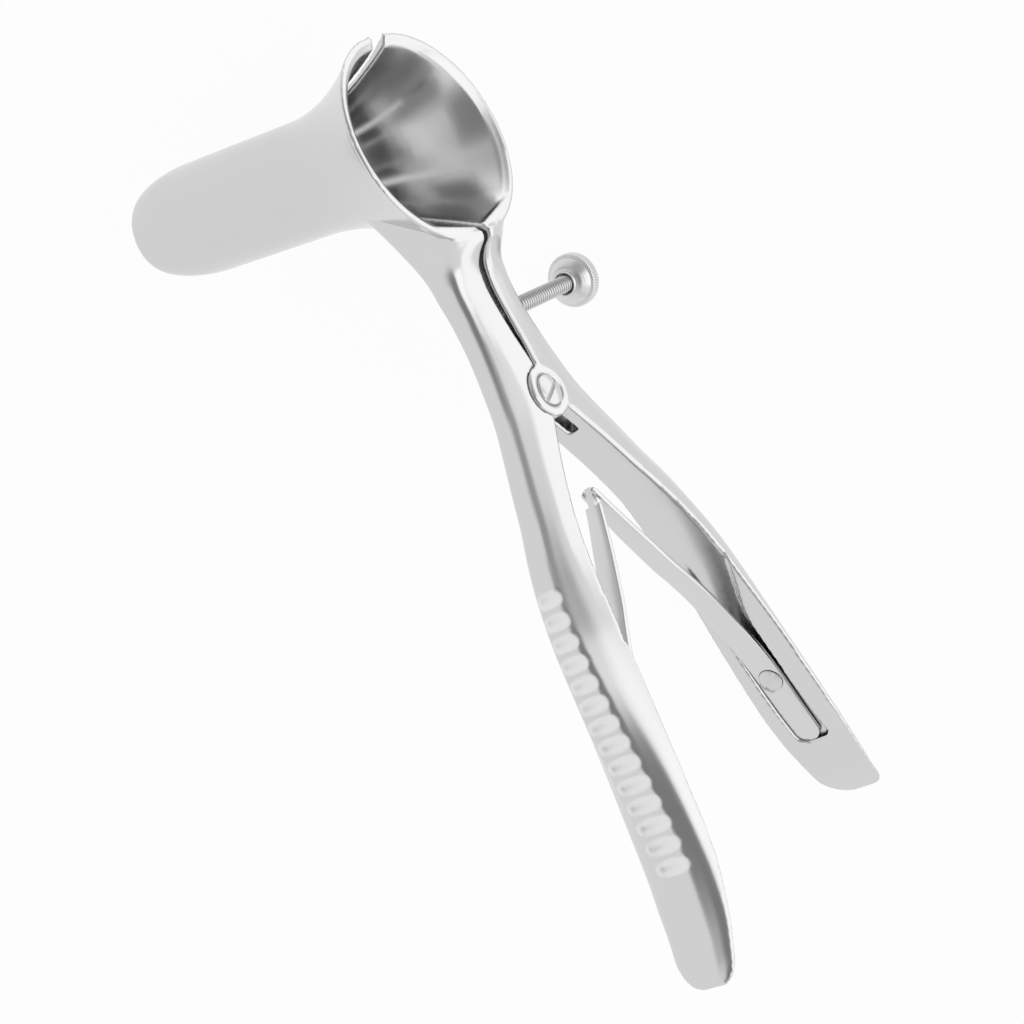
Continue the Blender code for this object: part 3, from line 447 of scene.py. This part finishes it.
def makeBladeShell():
    sections = []
    for k in range(blade["steps"] + 1):
        angle = math.pi * (k / blade["steps"] - 0.5)
        cut = blade["tipCutTop"] if angle > 0 else blade["tipCutBottom"]
        end = blade["tubeLength"] - cut * (1 - math.cos(angle)) ** 1.5
        squeeze = (end - blade["flareLength"]) / (blade["tubeLength"] - blade["flareLength"])
        section = []
        for s, radius in wallOutline():
            if s > blade["flareLength"]:
                s = blade["flareLength"] + (s - blade["flareLength"]) * squeeze
            section.append(bladePoint(s, radius, angle) + Vector((planeGap, 0, 0)))
        sections.append(section)
    return tubeOf("bladeShell", sections)


def makeFunnelCutter():
    # clears the neck out of the funnel, down to a little inside the wall
    stations = (-9, -0.5, 0.5, 1.5, 2.5, 3.5, 5, 6.5, 8, 10, 12, 14, 17, 20, 24, 28, 32)
    count = 120
    rings = []
    for s in [k * mm for k in stations]:
        radius = flareRadius(s) - 0.75 * wallAt(s)
        rings.append([bladePoint(s, radius, 2 * math.pi * k / count) for k in range(count)])
    return tubeOf("funnelCutter", rings)


def makeHandleBody():
    straight = handle["top"] - handle["bottom"] - handle["backRound"]
    count = round(straight / handle["levelStep"])
    levels = [handle["top"] - straight * k / count for k in range(count + 1)]
    levels += [handle["bottom"] + handle["backRound"] * (1 - math.sin(math.pi / 2 * k / 14)) for k in range(1, 15)]
    sections = []
    for z in levels:
        frontDraw = cornerDraw(z - handle["bottom"], handle["frontRound"])
        backDraw = cornerDraw(z - handle["bottom"], handle["backRound"])
        xIn, xOut = smoothCurve(handle["innerX"], z), smoothCurve(handle["outerX"], z)
        thin = handle["endThin"] * backDraw / handle["backRound"] * (xOut - xIn)
        frontIn = smoothCurve(handle["frontInnerY"], z) + frontDraw
        backIn = smoothCurve(handle["backInnerY"], z) - backDraw
        frontOut = smoothCurve(handle["frontOuterY"], z) + frontDraw
        backOut = smoothCurve(handle["backOuterY"], z) - backDraw
        if backOut - frontOut < 1.2 * mm:
            middle = (frontOut + backOut) / 2
            frontOut, backOut = middle - 0.6 * mm, middle + 0.6 * mm
        xMid = xIn + smoothCurve(handle["crownPlace"], z) / mm * (xOut - xIn)
        drop = smoothCurve(handle["crownDrop"], z) / mm
        frontMid = frontIn + drop * (frontOut - frontIn)
        backMid = backIn + drop * (backOut - backIn)
        corners = [(xIn, frontIn), (xMid, frontMid), (xOut - thin, frontOut),
                   (xOut - thin, backOut), (xMid, backMid), (xIn, backIn)]
        rounds = (handle["innerRound"], handle["crownRound"], handle["outerRound"],
                  handle["outerRound"], handle["crownRound"], handle["innerRound"])
        sections.append([Vector((x, y, z)) for x, y in roundedOutline(corners, rounds, handle["arcSteps"])])
    return tubeOf("handleBody", sections)


def gripPlaces():
    places = []
    for k in range(grip["count"]):
        z = grip["top"] + (grip["bottom"] - grip["top"]) * k / (grip["count"] - 1)
        slope = (smoothCurve(handle["outerX"], z + mm) - smoothCurve(handle["outerX"], z - mm)) / (2 * mm)
        middle = (smoothCurve(handle["frontOuterY"], z) + smoothCurve(handle["backOuterY"], z)) / 2 - grip["forward"]
        out = Vector((1, 0, -slope)).normalized()
        centre = Vector((smoothCurve(handle["outerX"], z), middle, z)) + out * (grip["radii"][0] - grip["depth"])
        turn = Vector((1, 0, 0)).rotation_difference(out).to_matrix().to_4x4()
        places.append(Matrix.Translation(centre) @ turn @ Matrix.Diagonal((*grip["radii"], 1)))
    return places


def makeGripCutter():
    bm = bmesh.new()
    for place in gripPlaces():
        bmesh.ops.create_uvsphere(bm, u_segments=48, v_segments=24, radius=1.0,
                                  matrix=place @ Matrix.Rotation(math.pi / 2, 4, "Y"))
    return toObject("gripCutter", bm)


def markGrips(body):
    # the ground scallops are a shade lighter and duller than the polished handle
    layer = body.data.attributes.new("ground", "FLOAT", "POINT")
    backs = [place.inverted() for place in gripPlaces()]
    for vert in body.data.vertices:
        alongGrips = grip["bottom"] - grip["markBeyond"] < vert.co.z < grip["top"] + grip["markBeyond"]
        if alongGrips and vert.co.x > grip["markFrom"]:
            nearest = min((back @ vert.co).length for back in backs)
            layer.data[vert.index].value = 1 - fade(nearest, *grip["markFade"])


def leafLine(z):
    return smoothCurve([(height, x) for x, height in leafSpring["line"]], z)


def seatFloor(z):
    station = min(z, seat["top"])
    room = max(0.0, station - leafScrew["height"]) * math.tan(leafSpring["bend"])
    depth = (leafLine(station) + seat["slantFactor"] * leafSpring["thickness"] / 2 + gap + room
             - smoothCurve(handle["innerX"], station))
    runIn = min(1.0, max(0.0, (seat["runOut"] - z) / (seat["runOut"] - seat["top"])))
    return smoothCurve(handle["innerX"], z) + depth * runIn ** 0.7 - 0.02 * mm * (1 - runIn)


def makeSeatCutter():
    # the leaf's own outline with a hair's gap at back and root, and a slit left free along its front
    roundEnd = leafSpring["rootRound"]
    levels = list(np.arange(seat["runOut"], seat["bottom"] + roundEnd, -1.0 * mm))
    levels += [seat["bottom"] + roundEnd * (1 - math.sin(math.pi / 2 * k / 10)) for k in range(11)]
    sections = []
    for z in levels:
        floor = seatFloor(z)
        top = smoothCurve(handle["innerX"], z) - 8 * mm
        fromEnd = z - seat["bottom"]
        front = smoothCurve(seat["frontY"], z) + cornerDraw(fromEnd, seat["frontRound"])
        back = smoothCurve(leafSpring["backY"], z) + seat["leafGap"] - cornerDraw(fromEnd, roundEnd)
        outline = roundedOutline([(top, front), (floor, front), (floor, back), (top, back)],
                                 (0.2 * mm, 0.5 * mm, 0.5 * mm, 0.2 * mm), 4)
        sections.append([Vector((x, y, z)) for x, y in outline])
    return tubeOf("seatCutter", sections)


def makePocketCutter():
    top = Vector((smoothCurve(handle["innerX"], lap["pocketTop"]), 0, lap["pocketTop"]))
    bottom = Vector((smoothCurve(handle["innerX"], lap["pocketBottom"]), 0, lap["pocketBottom"]))
    along = bottom - top
    turn = Vector((0, 0, -1)).rotation_difference(along).to_matrix()
    size = (2 * lap["pocketDepth"], lap["pocketWidth"], along.length)
    return block("pocketCutter", size, (top + bottom) / 2 + Vector((0, lap["lapPlane"], 0)), turn)


def leafScrewAxis():
    z = leafScrew["height"]
    slope = (leafLine(z + mm) - leafLine(z - mm)) / (2 * mm)
    y = (smoothCurve(leafSpring["frontY"], z) + smoothCurve(leafSpring["backY"], z)) / 2
    return Vector((leafLine(z), y, z)), Vector((-1, 0, slope)).normalized()


# how the cut forging is turned into one even skin
skin = {"voxel": 0.42 * mm, "filletPasses": 120, "edgePasses": 8, "factor": 0.5}

# where the neck is blended into the funnel: each pair is where a fade begins and where it ends
neckFillet = {"foot": (25 * mm, 29 * mm), "top": (46 * mm, 48 * mm), "side": (14 * mm, 17 * mm),
              "back": (17 * mm, 21 * mm), "parting": (0.3 * mm, 1.3 * mm), "outside": (-0.7 * mm, -0.1 * mm),
              "behindRim": (0.5 * mm, 3.5 * mm), "clearOfWall": (0, 0.8 * mm), "least": 0.01}


def filletNeck(body):
    # the forging flows from the funnel into the neck: strong smoothing around that corner alone
    axis = Vector((0, math.cos(blade["tubeTilt"]), math.sin(blade["tubeTilt"])))
    group = body.vertex_groups.new(name="neckFillet")
    for vert in body.data.vertices:
        height = vert.co.z
        if not neckFillet["foot"][0] < height < neckFillet["top"][1]:
            continue
        fromMouth = vert.co - blade["mouthCentre"]
        s = fromMouth.dot(axis)
        outside = (fromMouth - axis * s).length - flareRadius(s)
        corner = max(fade(outside, *neckFillet["outside"]) * fade(s, *neckFillet["behindRim"]),
                     fade(outside, *neckFillet["clearOfWall"]))
        weight = corner * fade(height, *neckFillet["foot"]) * (1 - fade(height, *neckFillet["top"]))
        weight *= (1 - fade(vert.co.x, *neckFillet["side"])) * (1 - fade(vert.co.y, *neckFillet["back"]))
        weight *= fade(vert.co.x, *neckFillet["parting"])
        if weight > neckFillet["least"]:
            group.add([vert.index], weight, "REPLACE")
    fillet = body.modifiers.new("neckFillet", "SMOOTH")
    fillet.vertex_group = group.name
    fillet.factor = skin["factor"]
    fillet.iterations = skin["filletPasses"]
    applyModifiers(body)
    body.vertex_groups.clear()


def makeHalf(name, side):
    body = makeHandleBody()
    combine(body, makeFunnelCutter(), "DIFFERENCE")
    combine(body, makeBladeShell(), "UNION")
    low, high = Vector(saddle["low"]), Vector(saddle["high"])
    middle = blade["mouthCentre"]
    lip = rod("lip", blade["mouthRadius"] - saddle["inset"], (0, -8 * mm, middle.z), (0, 0, middle.z), 192)
    combine(lip, block("lipEnd", high - low, (low + high) / 2), "INTERSECT")
    startX, startZ = saddle["chordStart"]
    turn = Matrix.Rotation(-saddle["chordSlope"], 3, "Y")
    combine(lip, block("aboveChord", (60 * mm, 20 * mm, 12 * mm),
                       Vector((startX, -4 * mm, startZ)) + turn @ Vector((0, 0, 6 * mm)), turn), "DIFFERENCE")
    combine(body, lip, "UNION")
    radius, clear, plane = lap["lugRadius"], lap["lugRadius"] + lap["lugGap"], lap["lapPlane"]
    hole = lap["pivotRadius"] + boreGap
    if side > 0:
        combine(body, rod("lug", radius, (0, lap["lugFront"], 0), (0, lap["lugBack"] - mm, 0), 96), "UNION")
        combine(body, rod("recess", clear, (0, plane - gap / 2, 0), (0, lap["lugBack"] + 4 * mm, 0), 96), "DIFFERENCE")
        combine(body, rod("hole", hole, (0, -5 * mm, 0), (0, plane, 0)), "DIFFERENCE")
        combine(body, rod("headSeat", lap["headRadius"] + gap, (0, -5 * mm, 0), (0, lap["headSeat"] + gap, 0), 96),
                "DIFFERENCE")
        combine(body, makePocketCutter(), "DIFFERENCE")
        combine(body, rod("tapped", setScrew["radius"] + boreGap, (-4 * mm, setScrew["y"], setScrew["height"]),
                          (16 * mm, setScrew["y"], setScrew["height"])), "DIFFERENCE")
    else:
        combine(body, rod("lug", radius, (0, lap["lugFront"] + mm, 0), (0, lap["lugBack"], 0), 96), "UNION")
        combine(body, rod("recess", clear, (0, -4 * mm, 0), (0, plane + gap / 2, 0), 96), "DIFFERENCE")
        combine(body, rod("hole", hole, (0, 0, 0), (0, lap["lugBack"] + 4 * mm, 0)), "DIFFERENCE")
    combine(body, makeSeatCutter(), "DIFFERENCE")
    combine(body, makeGripCutter(), "DIFFERENCE")
    place, inward = leafScrewAxis()
    deep = place - inward * (leafSpring["thickness"] / 2 + leafScrew["shank"] + gap)
    combine(body, rod("tapped", leafScrew["radius"] + boreGap, deep, place + inward * 4 * mm), "DIFFERENCE")
    exact = body.copy()
    exact.data = body.data.copy()
    bpy.context.scene.collection.objects.link(exact)
    remesh = body.modifiers.new("blendSurface", "REMESH")
    remesh.mode = "VOXEL"
    remesh.voxel_size = skin["voxel"]
    hold = body.modifiers.new("holdShape", "SHRINKWRAP")
    hold.wrap_method = "NEAREST_SURFACEPOINT"
    hold.target = exact
    applyModifiers(body)
    bpy.data.objects.remove(exact)
    filletNeck(body)
    smoothing = body.modifiers.new("forgedEdges", "SMOOTH")
    smoothing.factor = skin["factor"]
    smoothing.iterations = skin["edgePasses"]
    applyModifiers(body)
    markGrips(body)
    print(name, "has", len(body.data.polygons), "faces")
    return body


rightHalf = finishPiece(makeHalf("rightHalf", 1), "rightHalfForging", rightFrame, "right", "right_half",
                        forgedSteel)
leftHalf = finishPiece(makeHalf("leftHalf", -1), "leftHalfForging", leftFrame, "left", "left_half",
                       forgedSteel, mirrored=True)
print("forgings done")


# leaf springs

leafTop = -21.0 * mm
leafRoot = -93.2 * mm


def leafPlace(z, y, lift, beyond=0.0):
    # a point of the leaf: height on its centre line, place across it, and lift towards the other half
    near = min(max(z, leafRoot + 0.5 * mm), leafTop - 0.5 * mm)
    slope = (leafLine(near + 0.5 * mm) - leafLine(near - 0.5 * mm)) / mm
    inward = Vector((-1, 0, slope)).normalized()
    down = Vector((-slope, 0, -1)).normalized()
    return Vector((leafLine(z), y, z)) + inward * lift - down * beyond


def makeLeaf(name, side):
    reach = leafSpring["tongueReach"] if side < 0 else 0.0
    runs = [0.0, 0.1 * mm, 0.25 * mm, 0.45 * mm, 0.7 * mm]
    length = leafTop - leafRoot
    count = round(length / leafSpring["step"])
    runs += [0.7 * mm + (length - 3.1 * mm) * k / count for k in range(1, count + 1)]
    runs += [length - leafSpring["rootRound"] * (1 - math.sin(math.pi / 2 * k / 10)) for k in range(1, 11)]
    half = leafSpring["thickness"] / 2
    sections = []
    for run in runs:
        z = leafTop - run
        draw = cornerDraw(run, leafSpring["endRound"]) + cornerDraw(length - run, leafSpring["rootRound"])
        front, back = smoothCurve(leafSpring["frontY"], z) + draw, smoothCurve(leafSpring["backY"], z) - draw
        beyond = reach * max(0.0, 1 - run / (2 * mm))
        outline = roundedOutline([(front, half), (back, half), (back, -half), (front, -half)],
                                 [leafSpring["edgeRound"]] * 4, 3)
        sections.append([leafPlace(z, y, lift, beyond) for y, lift in outline])
    leaf = tubeOf(name, sections)
    front, back = smoothCurve(leafSpring["frontY"], leafTop), smoothCurve(leafSpring["backY"], leafTop)
    middle, notch = (front + back) / 2, back - front
    top = leafPlace(leafTop, middle, 0.0, reach)
    turn = Vector((0, 0, -1)).rotation_difference(leafPlace(leafTop - 3 * mm, middle, 0.0) - top).to_matrix()
    if side > 0:
        combine(leaf, block("slot", (6 * mm, leafSpring["tongueWidth"] + 2 * gap, 2 * leafSpring["forkDepth"]),
                            top, turn), "DIFFERENCE")
    else:
        for direction in (-1, 1):
            aside = Vector((0, direction * (leafSpring["tongueWidth"] + notch) / 2, 0))
            combine(leaf, block("notch", (6 * mm, notch, 2 * leafSpring["tongueLength"]), top + aside, turn),
                    "DIFFERENCE")
    place, inward = leafScrewAxis()
    face = place + inward * half
    combine(leaf, rod("hole", leafScrew["radius"] + gap, place - inward * 2 * mm, face + inward * mm), "DIFFERENCE")
    combine(leaf, rod("sink", leafScrew["radius"] + gap, face - inward * (leafScrew["headHeight"] + gap),
                      face + inward * gap, 96, leafScrew["headRadius"] + leafScrew["sinkGap"] + gap),
            "DIFFERENCE")
    softenEdges(leaf, 0.08 * mm, 2, 50)
    return leaf


finishPiece(makeLeaf("rightLeaf", 1), "rightLeafSpring", rightFrame, "right_leaf", "right_spring",
            springSteel)
finishPiece(makeLeaf("leftLeaf", -1), "leftLeafSpring", leftFrame, "left_leaf", "left_spring",
            springSteel, mirrored=True)


# screws

def domeProfile(start, radius, edge, dome, chamfer):
    # a head's profile from its rim to the middle of its dome, as (x, radius)
    rim = radius - chamfer
    profile = [(start, radius), (start + edge - chamfer, radius), (start + edge, rim)]
    for k in range(1, 17):
        share = 1 - k / 16
        profile.append((start + edge + dome * (1 - share ** 2), rim * share))
    return profile


def cutSlot(head, width, depth, topX):
    combine(head, block("slot", (2 * depth, 12 * mm, width), (topX, 0, 0)), "DIFFERENCE")
    softenEdges(head, 0.06 * mm, 2, 40)


def makeLeafScrew(name):
    place, inward = leafScrewAxis()
    half = leafSpring["thickness"] / 2
    cone = [(-half - leafScrew["shank"], 0.0), (-half - leafScrew["shank"], leafScrew["radius"]),
            (half - leafScrew["headHeight"], leafScrew["radius"])]
    head = domeProfile(half - 0.02 * mm, leafScrew["headRadius"], 0.08 * mm, leafScrew["headDome"], 0.05 * mm)
    screw = turned(name, cone + head, 96)
    cutSlot(screw, leafScrew["slotWidth"], leafScrew["slotDepth"], half + 0.06 * mm + leafScrew["headDome"])
    turn = Vector((1, 0, 0)).rotation_difference(inward).to_matrix().to_4x4()
    screw.data.transform(Matrix.Translation(place) @ turn @ Matrix.Rotation(leafScrew["slotTurn"], 4, "X"))
    return screw


def makePivotScrew(name):
    shankEnd = lap["lugBack"] - lap["headSeat"] + 0.3 * mm
    shank = [(-shankEnd, 0.0), (-shankEnd, lap["pivotRadius"] - pivot["endChamfer"]),
             (-shankEnd + pivot["endChamfer"], lap["pivotRadius"]), (0.0, lap["pivotRadius"])]
    head = domeProfile(0.0, lap["headRadius"], pivot["headEdge"], pivot["headDome"], 0.12 * mm)
    screw = turned(name, shank + head, 128)
    cutSlot(screw, pivot["slotWidth"], pivot["slotDepth"], pivot["headEdge"] + pivot["headDome"])
    screw.data.transform(Matrix.Translation((0, lap["headSeat"], 0)) @ Matrix.Rotation(-math.pi / 2, 4, "Z")
                         @ Matrix.Rotation(pivot["slotTurn"], 4, "X"))
    return screw


def makeSetScrew(name):
    # the thread is a ripple that winds once round the rod for each pitch
    height = setScrew["height"]
    tip = -(2 * height * math.tan(restOpening / 2) + smoothCurve(handle["innerX"], height)) + gap
    end = knob["face"] + knob["thickness"] - knob["endWall"] - gap
    pitch, depth = setScrew["pitch"], setScrew["threadDepth"]
    count = round((end - tip) / pitch * setScrew["perPitch"])
    sections = []
    for row in range(count + 1):
        x = tip + (end - tip) * row / count
        limit = setScrew["radius"] - 0.8 * mm * (1 - min(1.0, (x - tip) / (0.8 * mm))) ** 2
        ring = []
        for k in range(setScrew["perTurn"]):
            angle = 2 * math.pi * k / setScrew["perTurn"]
            wave = (1 - math.cos(2 * math.pi * x / pitch - angle)) / 2
            radius = min(limit, setScrew["radius"] - depth * wave)
            ring.append(Vector((x, setScrew["y"] + radius * math.cos(angle),
                                setScrew["height"] + radius * math.sin(angle))))
        sections.append(ring)
    body = tubeOf(name, sections)
    # painted shade: this layer darkens the base colour towards the bottom of each thread valley, where shade falls
    layer = body.data.attributes.new("paintedValleyShade", "FLOAT", "POINT")
    for vert in body.data.vertices:
        r = math.hypot(vert.co.y - setScrew["y"], vert.co.z - setScrew["height"])
        layer.data[vert.index].value = fade(setScrew["radius"] - r, 0.3 * depth, depth)
    return body


def makeKnob(name):
    # boss, turned dome with fine tool rings, flat outer ring and knurled rim
    radius, face, dome, boss = knob["radius"], knob["face"], knob["dome"], knob["bossRadius"]
    outer = face + knob["thickness"]
    bore = setScrew["radius"] + boreGap
    bossEnd = face - dome - knob["bossLength"]
    profile = [(outer - knob["endWall"], 0.0), (outer - knob["endWall"], bore), (bossEnd + 0.9 * mm, bore),
               (bossEnd + 0.05 * mm, boss - 0.25 * mm), (bossEnd, boss - 0.15 * mm), (bossEnd + 0.12 * mm, boss),
               (face - dome, boss + 0.05 * mm)]
    domeEnd = radius - 0.75 * mm
    count = 48
    for k in range(1, count + 1):
        share = k / count
        r = boss + (domeEnd - boss) * share
        wave = (1 - math.cos(2 * math.pi * (r - boss) / knob["ringPitch"])) / 2
        rings = knob["ringDepth"] * wave * fade(share, 0.45, 0.6)
        profile.append((face - 0.25 * mm - (dome - 0.25 * mm) * math.cos(share * math.pi / 2) ** 0.9 + rings, r))
    profile += [(face, domeEnd + 0.06 * mm), (face, radius - 0.3 * mm), (face + 0.25 * mm, radius),
                (face + 0.6 * mm, radius), (outer - 0.6 * mm, radius), (outer - 0.3 * mm, radius),
                (outer, radius - 0.3 * mm), (outer, 0.0)]
    body = turned(name, profile, 4 * knob["teeth"])
    for vert in body.data.vertices:
        r = math.hypot(vert.co.y, vert.co.z)
        column = round(math.atan2(vert.co.z, vert.co.y) / (2 * math.pi) * 4 * knob["teeth"])
        if r > radius - 0.1 * mm:
            draw = knob["toothDepth"] * (0.0, 0.35, 1.0, 0.35)[column % 4] / r
            vert.co.y *= 1 - draw
            vert.co.z *= 1 - draw
    body.data.transform(Matrix.Translation((0, setScrew["y"], setScrew["height"])))
    return body


finishPiece(makeLeafScrew("rightScrew"), "rightLeafScrew", rightFrame, "right", "right_spring_screw",
            turnedSteel)
finishPiece(makeLeafScrew("leftScrew"), "leftLeafScrew", leftFrame, "left", "left_spring_screw",
            turnedSteel, mirrored=True)
finishPiece(makePivotScrew("pivotPin"), "pivotScrew", leftFrame, "left", "pivot_screw", turnedSteel)
finishPiece(makeSetScrew("threadedRod"), "setScrewRod", rightFrame, "screw", "set_screw", threadSteel)
finishPiece(makeKnob("knurledKnob"), "setKnob", rightFrame, "knob", "set_knob", knobSteel)
print("springs, screws and knob done")


# floor, light and camera

def makeFloor():
    bm = bmesh.new()
    bmesh.ops.create_grid(bm, x_segments=1, y_segments=1, size=3.0)
    floor = toObject("studioFloor", bm)
    material = bpy.data.materials.new("whiteFloor")
    material.use_nodes = True
    nodes, links = material.node_tree.nodes, material.node_tree.links
    shader = nodes["Principled BSDF"]
    shader.inputs["Base Color"].default_value = (0.9, 0.9, 0.9, 1)
    shader.inputs["Roughness"].default_value = 0.9
    shader.inputs["Specular IOR Level"].default_value = 0.1
    glow = nodes.new("ShaderNodeEmission")
    glow.inputs["Color"].default_value = (1, 1, 1, 1)
    glow.inputs["Strength"].default_value = 1.0
    path = nodes.new("ShaderNodeLightPath")
    seen = nodes.new("ShaderNodeMath")
    seen.operation = "MAXIMUM"
    links.new(path.outputs["Is Camera Ray"], seen.inputs[0])
    links.new(path.outputs["Is Glossy Ray"], seen.inputs[1])
    share = nodes.new("ShaderNodeMath")
    share.operation = "MULTIPLY"
    share.inputs[1].default_value = 0.95
    links.new(seen.outputs[0], share.inputs[0])
    mix = nodes.new("ShaderNodeMixShader")
    links.new(share.outputs[0], mix.inputs["Fac"])
    links.new(shader.outputs[0], mix.inputs[1])
    links.new(glow.outputs[0], mix.inputs[2])
    links.new(mix.outputs[0], nodes["Material Output"].inputs["Surface"])
    floor.data.materials.append(material)


def makeLamp(name, size, strength, place, target):
    light = bpy.data.lights.new(name, "AREA")
    light.shape = "RECTANGLE"
    light.size, light.size_y = size
    light.energy = strength
    lamp = bpy.data.objects.new(name, light)
    bpy.context.scene.collection.objects.link(lamp)
    lamp.location = place
    lamp.rotation_euler = (Vector(target) - Vector(place)).to_track_quat("-Z", "Y").to_euler()
    return lamp


def makeWorld(look):
    # an even pale room, darker overhead where the camera stands, and with one dim corner
    world = bpy.data.worlds.new("studio")
    world.use_nodes = True
    nodes, links = world.node_tree.nodes, world.node_tree.links
    nodes["Background"].inputs["Color"].default_value = (1, 1, 1, 1)
    coords = nodes.new("ShaderNodeTexCoord")
    shades = []
    for zone in look["darkZones"]:
        toward = nodes.new("ShaderNodeVectorMath")
        toward.operation = "DOT_PRODUCT"
        toward.inputs[1].default_value = Vector(zone["toward"]).normalized()
        links.new(coords.outputs["Generated"], toward.inputs[0])
        shade = nodes.new("ShaderNodeMapRange")
        shade.interpolation_type = "SMOOTHSTEP"
        shade.inputs["From Min"].default_value = math.cos(zone["outer"])
        shade.inputs["From Max"].default_value = math.cos(zone["inner"])
        shade.inputs["To Min"].default_value = 1.0
        shade.inputs["To Max"].default_value = zone["share"]
        links.new(toward.outputs["Value"], shade.inputs["Value"])
        shades.append(shade.outputs["Result"])
    level = nodes.new("ShaderNodeMath")
    level.operation = "MINIMUM"
    links.new(shades[0], level.inputs[0])
    links.new(shades[1], level.inputs[1])
    strength = nodes.new("ShaderNodeMath")
    strength.operation = "MULTIPLY"
    strength.inputs[1].default_value = look["level"]
    links.new(level.outputs[0], strength.inputs[0])
    links.new(strength.outputs[0], nodes["Background"].inputs["Strength"])
    bpy.context.scene.world = world


def makeCamera():
    # the photograph's camera, in the left half's own frame
    view = {"place": Vector((-284.0, -200.8, 10.7)) * mm, "turn": (1.243, -1.095, 0.272), "focalPixels": 1776.87}
    spin = Vector(view["turn"])
    toView = Matrix.Rotation(spin.length, 3, spin.normalized())
    right, down, ahead = toView[0], toView[1], toView[2]
    axes = Matrix((right, -down, -ahead)).transposed().to_4x4()
    camera = bpy.data.objects.new("photoCamera", bpy.data.cameras.new("photoCamera"))
    bpy.context.scene.collection.objects.link(camera)
    camera.matrix_world = leftFrame @ Matrix.Translation(view["place"]) @ axes
    camera.data.sensor_width = 36.0
    camera.data.lens = 36.0 * view["focalPixels"] / 1024
    camera.data.clip_start = 0.01
    bpy.context.scene.camera = camera
    return camera


makeFloor()
makeWorld({"level": 0.98, "darkZones": [
    {"toward": (0, 0.05, 1), "inner": math.radians(12), "outer": math.radians(50), "share": 0.28},
    {"toward": (0.59, -0.5, 0.64), "inner": math.radians(14), "outer": math.radians(42), "share": 0.45}]})
makeLamp("softbox", (1.05, 1.2), 1.95, (-0.38, -0.76, 0.57), (0, 0, 0.05))
makeLamp("lightTable", (1.1, 0.85), 1.35, (-0.2, -0.49, 0.002), (-0.2, -0.49, 1.0))
camera = makeCamera()
bpy.context.scene.view_settings.view_transform = "Standard"
print("studio done")
